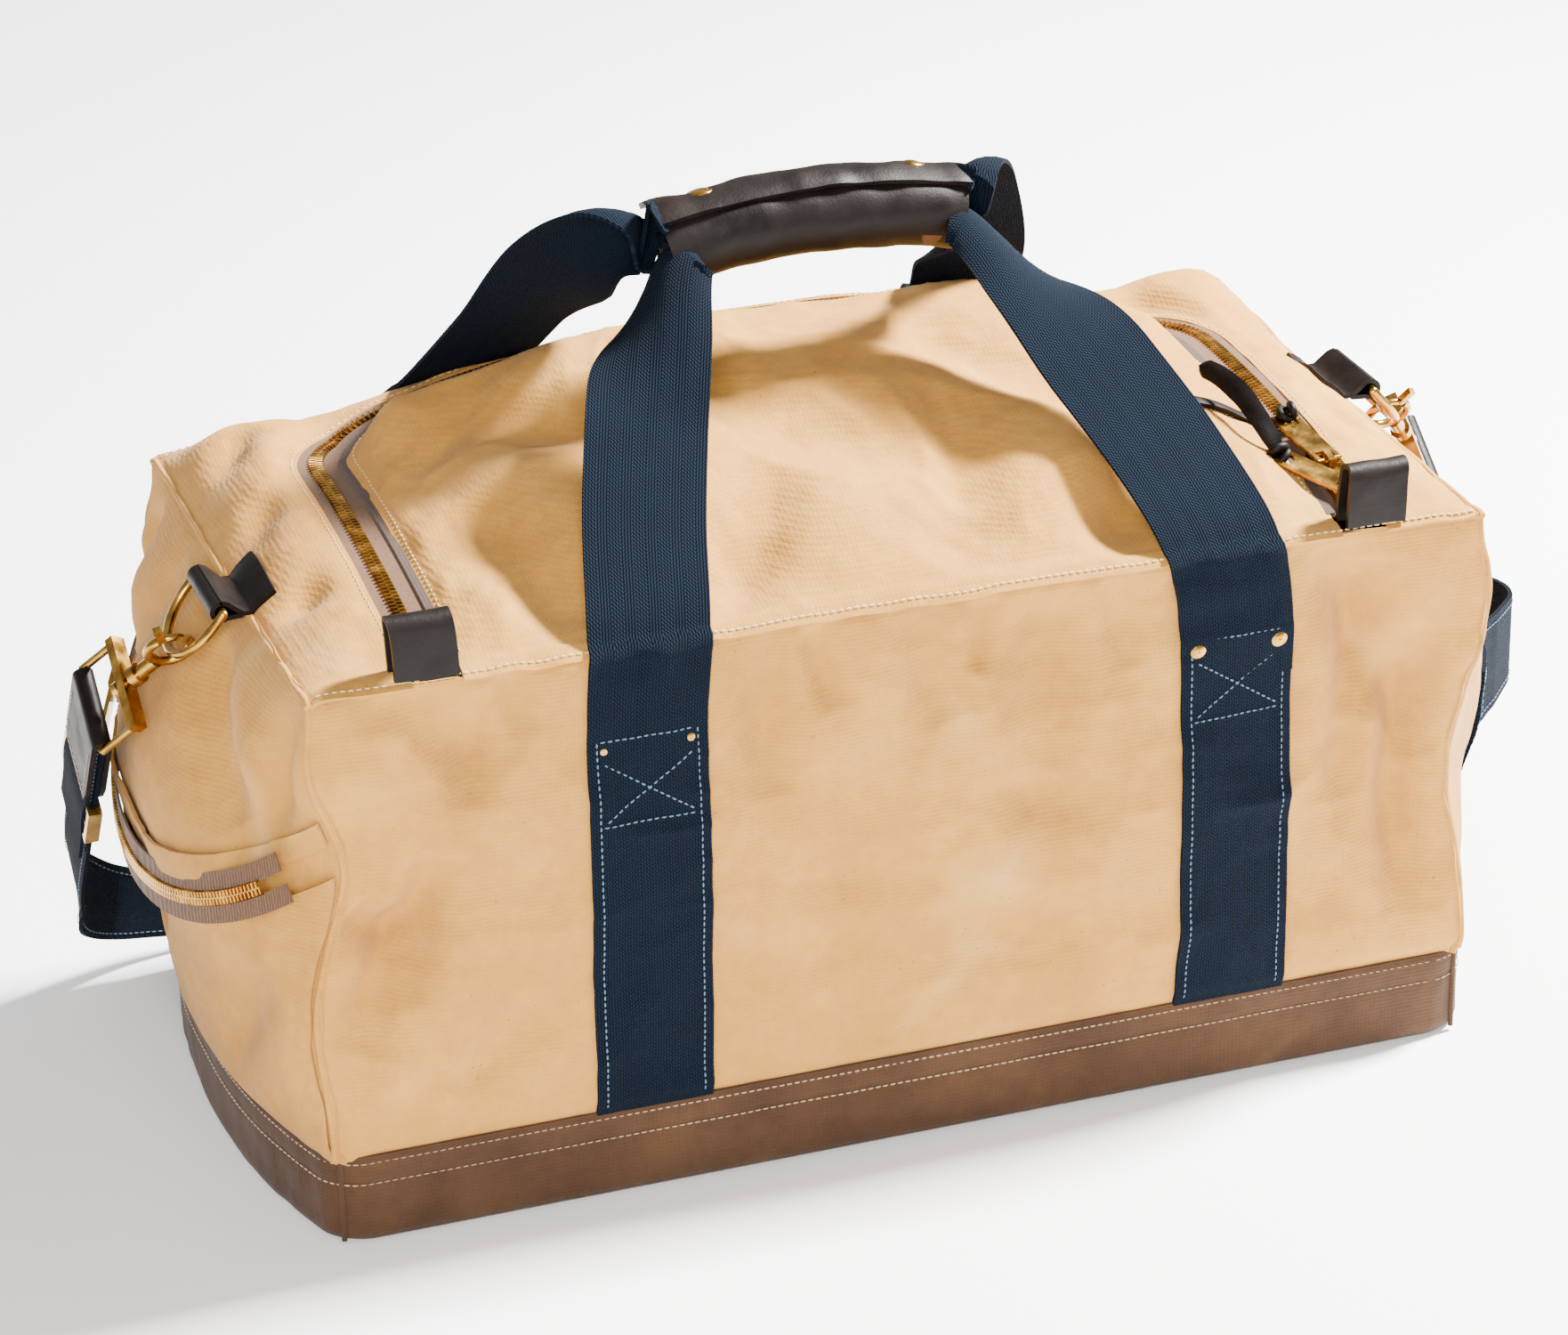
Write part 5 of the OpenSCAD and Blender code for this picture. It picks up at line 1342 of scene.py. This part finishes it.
def strap():
    """The webbing: down from the left hook, round the back of the bag on its edge, and up to the right hook."""
    run, floor = HALF_D + 14 * MM, STRAP_W / 2 + 0.6 * MM
    left = [hang(-1, EYE_OUT, 0, EYE_DOWN + d * MM) for d in (6, 36, 68, 98)]
    right = [hang(1, EYE_OUT, 0, EYE_DOWN + d * MM) for d in (76, 50, 26, 6)]
    # Millimetres past each end, back from the middle, and up from the floor
    round_left = [(-58, 80, 88), (-54, 99, 66), (-44, 117, 48), (-28, 132, 35), (-6, 142, 27), (20, 147, 22),
                  (50, 148, 20)]
    round_right = [(-38, 149, 20.6), (-10, 148, 23.5), (16, 142, 31), (36, 132, 44), (49, 120, 63), (56, 107, 86),
                   (58.5, 96, 108)]
    path = left + [(-HALF_L + x * MM, y * MM, z * MM) for x, y, z in round_left]
    path += [(x * MM, run + y * MM, floor) for x, y in ((-160, 4), (-110, 2), (-60, 1), (-10, 2), (40, 4), (90, 3),
                                                        (140, 2), (180, 4))]
    path += [(HALF_L + x * MM, y * MM, z * MM) for x, y, z in round_right] + right
    centre = curve_through(path, 420)
    a = np.pi / 2 * np.clip((HALF_D + 10 * MM - centre[:, 1]) / (45 * MM), 0, 1)
    face = np.stack([np.sign(centre[:, 0]) * np.sin(a), np.cos(a), 0 * a], -1)
    along = unit(np.gradient(centre, axis=0))
    across = unit(np.cross(face, along))
    normal = np.cross(along, across)
    web = strip("strap_web", centre, across, normal, STRAP_W - 4 * MM, NAVY, 1.8 * MM, 0.2 * MM)
    ride(web, "shell", "webbing_navy", "strap_webbing")
    rows = []
    for face_sign in (-1, 1):
        for u in (-1, 1):
            off = across * u * (STRAP_W / 2 - 5 * MM) + normal * (0.15 * MM if face_sign > 0 else -2.0 * MM)
            rows.append((centre + off, normal * face_sign))
    ride(stitches("strap_stitches", rows, SKY, size=0.3 * MM), "shell", "webbing_navy")
    # The tail comes back through the adjuster and lies on the strap's outer face
    tail = curve_through([hang(-1, EYE_OUT + o * MM, 0, EYE_DOWN + d * MM)
                          for o, d in ((3.2, 40), (3.6, 48), (4.4, 56), (4.2, 66), (3.4, 80), (3.2, 96))], 60)
    along = unit(np.gradient(tail, axis=0))
    side_way = unit(hang(-1, 0, 1, 0) - hang(-1, 0, 0, 0))
    tail_normal = unit(np.cross(along, np.tile(side_way, (60, 1))))
    tail_normal = tail_normal * np.sign(-tail_normal[:, :1])
    web = strip("strap_tail", tail, side_way, tail_normal, STRAP_W - 4 * MM, NAVY, 1.6 * MM, 0.2 * MM)
    ride(web, "shell", "webbing_navy")


# ---- Thongs on the pulls ----

def thong(name, body, node, points, widths, up):
    """A flat leather thong along a path, with a rounded tip and a knot at its start; up is the way its face looks."""
    centre = curve_through(points, 70)
    along = unit(np.gradient(centre, axis=0))
    across = unit(np.cross(along, np.tile(unit(up), (70, 1))))
    normal = np.cross(across, along)
    f = np.linspace(0, 1, 70)
    width = np.interp(f, [0, 0.12, 0.6, 1], widths) * np.sqrt(np.clip((1 - f) / 0.07, 0.02, 1))
    web = strip(name + "_strand", centre, across, normal, width, LEATHER, 1.9 * MM, 0.7 * MM, columns=9)
    start, step = centre[0], along[0]
    knot = []
    for turn, (size, push) in enumerate(((3.1, 0.0), (2.7, 3.6))):
        ring = []
        for t in np.linspace(0, 2 * math.pi, 18, endpoint=False):
            round_strand = across[0] * math.cos(t) * 3.4 * MM + normal[0] * math.sin(t) * 2.6 * MM
            ring.append(start + round_strand + step * MM * (1.2 * math.sin(t + turn * 2.2) - push))
        knot.append(tube(name + "_knot", ring, size * 0.62 * MM, LEATHER, 10, closed=True))
    ride(join(name, [web] + knot), body, "leather_dark", node)


def thongs():
    """One thong lies to the left on the lid, and the other stands up from its pull."""
    for letter in "ab":
        lo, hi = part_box("zip_pull_" + letter)
        tip = np.array([lo.x + 6 * MM, hi.y - 3 * MM, hi.z - 0.5 * MM])
        if letter == "a":
            xs = tip[0] - np.array([0, 6, 16, 30, 48, 64]) * MM
            ys = tip[1] + np.array([0, 3, 6, 7, 9, 8]) * MM
            zs = top_point(xs, ys)[:, 2] + 3 * MM
            zs[0] = tip[2] + 1 * MM
            name, widths, up = "thong_left", (6, 7.5, 8, 7), (0, 0, 1)
        else:
            xs = tip[0] - np.array([0, 3, 6, 8, 12, 17]) * MM
            ys = tip[1] + np.array([0, 4, 11, 21, 33, 44]) * MM
            zs = top_point(xs, ys)[:, 2] + np.array([3, 8, 13, 15, 15, 13]) * MM
            name, widths, up = "thong_up", (6, 8, 9.5, 8), (-0.55, -0.65, 0.5)
        points = np.stack([xs, ys, zs], -1)
        thong(name, "pull_" + letter, "thong_" + letter, points, [w * MM for w in widths], up)


# ---- Camera, light and floor ----

def lamp(name, place, size, power, colour):
    """A square light that looks at the middle of the bag."""
    light = bpy.data.lights.new(name, "AREA")
    light.size = size
    light.energy = power
    light.color = colour
    obj = bpy.data.objects.new(name, light)
    bpy.context.scene.collection.objects.link(obj)
    obj.location = place
    obj.rotation_euler = (Vector((0, 0, 120 * MM)) - Vector(place)).to_track_quat("-Z", "Y").to_euler()


def stage():
    yaw, pitch, roll = math.radians(-19.04), math.radians(25.23), math.radians(-1.025)
    target = Vector((-9.69 * MM, 4.76 * MM, 159.97 * MM))
    back = Vector((math.sin(yaw) * math.cos(pitch), -math.cos(yaw) * math.cos(pitch), math.sin(pitch)))
    right = Vector((0, 0, 1)).cross(back).normalized()
    up = back.cross(right)
    turned = right * math.cos(roll) + up * math.sin(roll)
    up = up * math.cos(roll) - right * math.sin(roll)
    data = bpy.data.cameras.new("camera")
    data.sensor_width = 36
    data.lens = 118.2
    data.clip_end = 50
    camera = bpy.data.objects.new("camera", data)
    bpy.context.scene.collection.objects.link(camera)
    place = target + back * 2.2
    camera.matrix_world = Matrix((
        (turned.x, up.x, back.x, place.x), (turned.y, up.y, back.y, place.y),
        (turned.z, up.z, back.z, place.z), (0, 0, 0, 1)))
    bpy.context.scene.camera = camera

    world = bpy.data.worlds.new("studio")
    bpy.context.scene.world = world
    world.use_nodes = True
    background = world.node_tree.nodes["Background"].inputs
    background[0].default_value = (1, 1, 1, 1)
    background[1].default_value = 0.6

    lamp("key", (1.5, 0.15, 1.8), 0.34, 520, (1, 0.985, 0.96))
    lamp("fill", (-1.0, -2.4, 1.3), 1.2, 130, (1, 0.99, 0.98))

    material = start_material("white_paper", **{"Base Color": grey(0.93), "Roughness": 0.9})[0]
    floor = build("floor", [(-6, -6, 0), (6, -6, 0), (6, 6, 0), (-6, 6, 0)], [(0, 1, 2, 3)], material)
    floor.location.z = -0.2 * MM


def hardware():
    """Metal pieces keep their CAD shapes."""
    looks = {"brass": BRASS, "leather_dark": LEATHER, "webbing_navy": NAVY, "zip_tape": TAPE}
    slots = {part["node"]: part["material_slot"] for part in frame["record"]["subparts"]}
    for name, node in frame["nodes"].items():
        node.data.materials.clear()
        node.data.materials.append(BOARD if name == "base_board" else looks.get(slots.get(name), TAN))


stage()
hardware()
canvas_sides()
canvas_top()
main_zip()
base()
seam_ridges()
handles()
leather_wrap()
snap_domes()
for side, hand in ((-1, "left"), (1, "right")):
    zip_tab("leather_zip_tab_" + hand, "zip_tab_" + hand, side)
    ring_tab("leather_ring_tab_" + hand, "ring_tab_" + hand, side)
    strap_end("leather_strap_end_" + hand, "strap_end_" + hand, side)
end_pocket()
end_handle()
strap()
thongs()
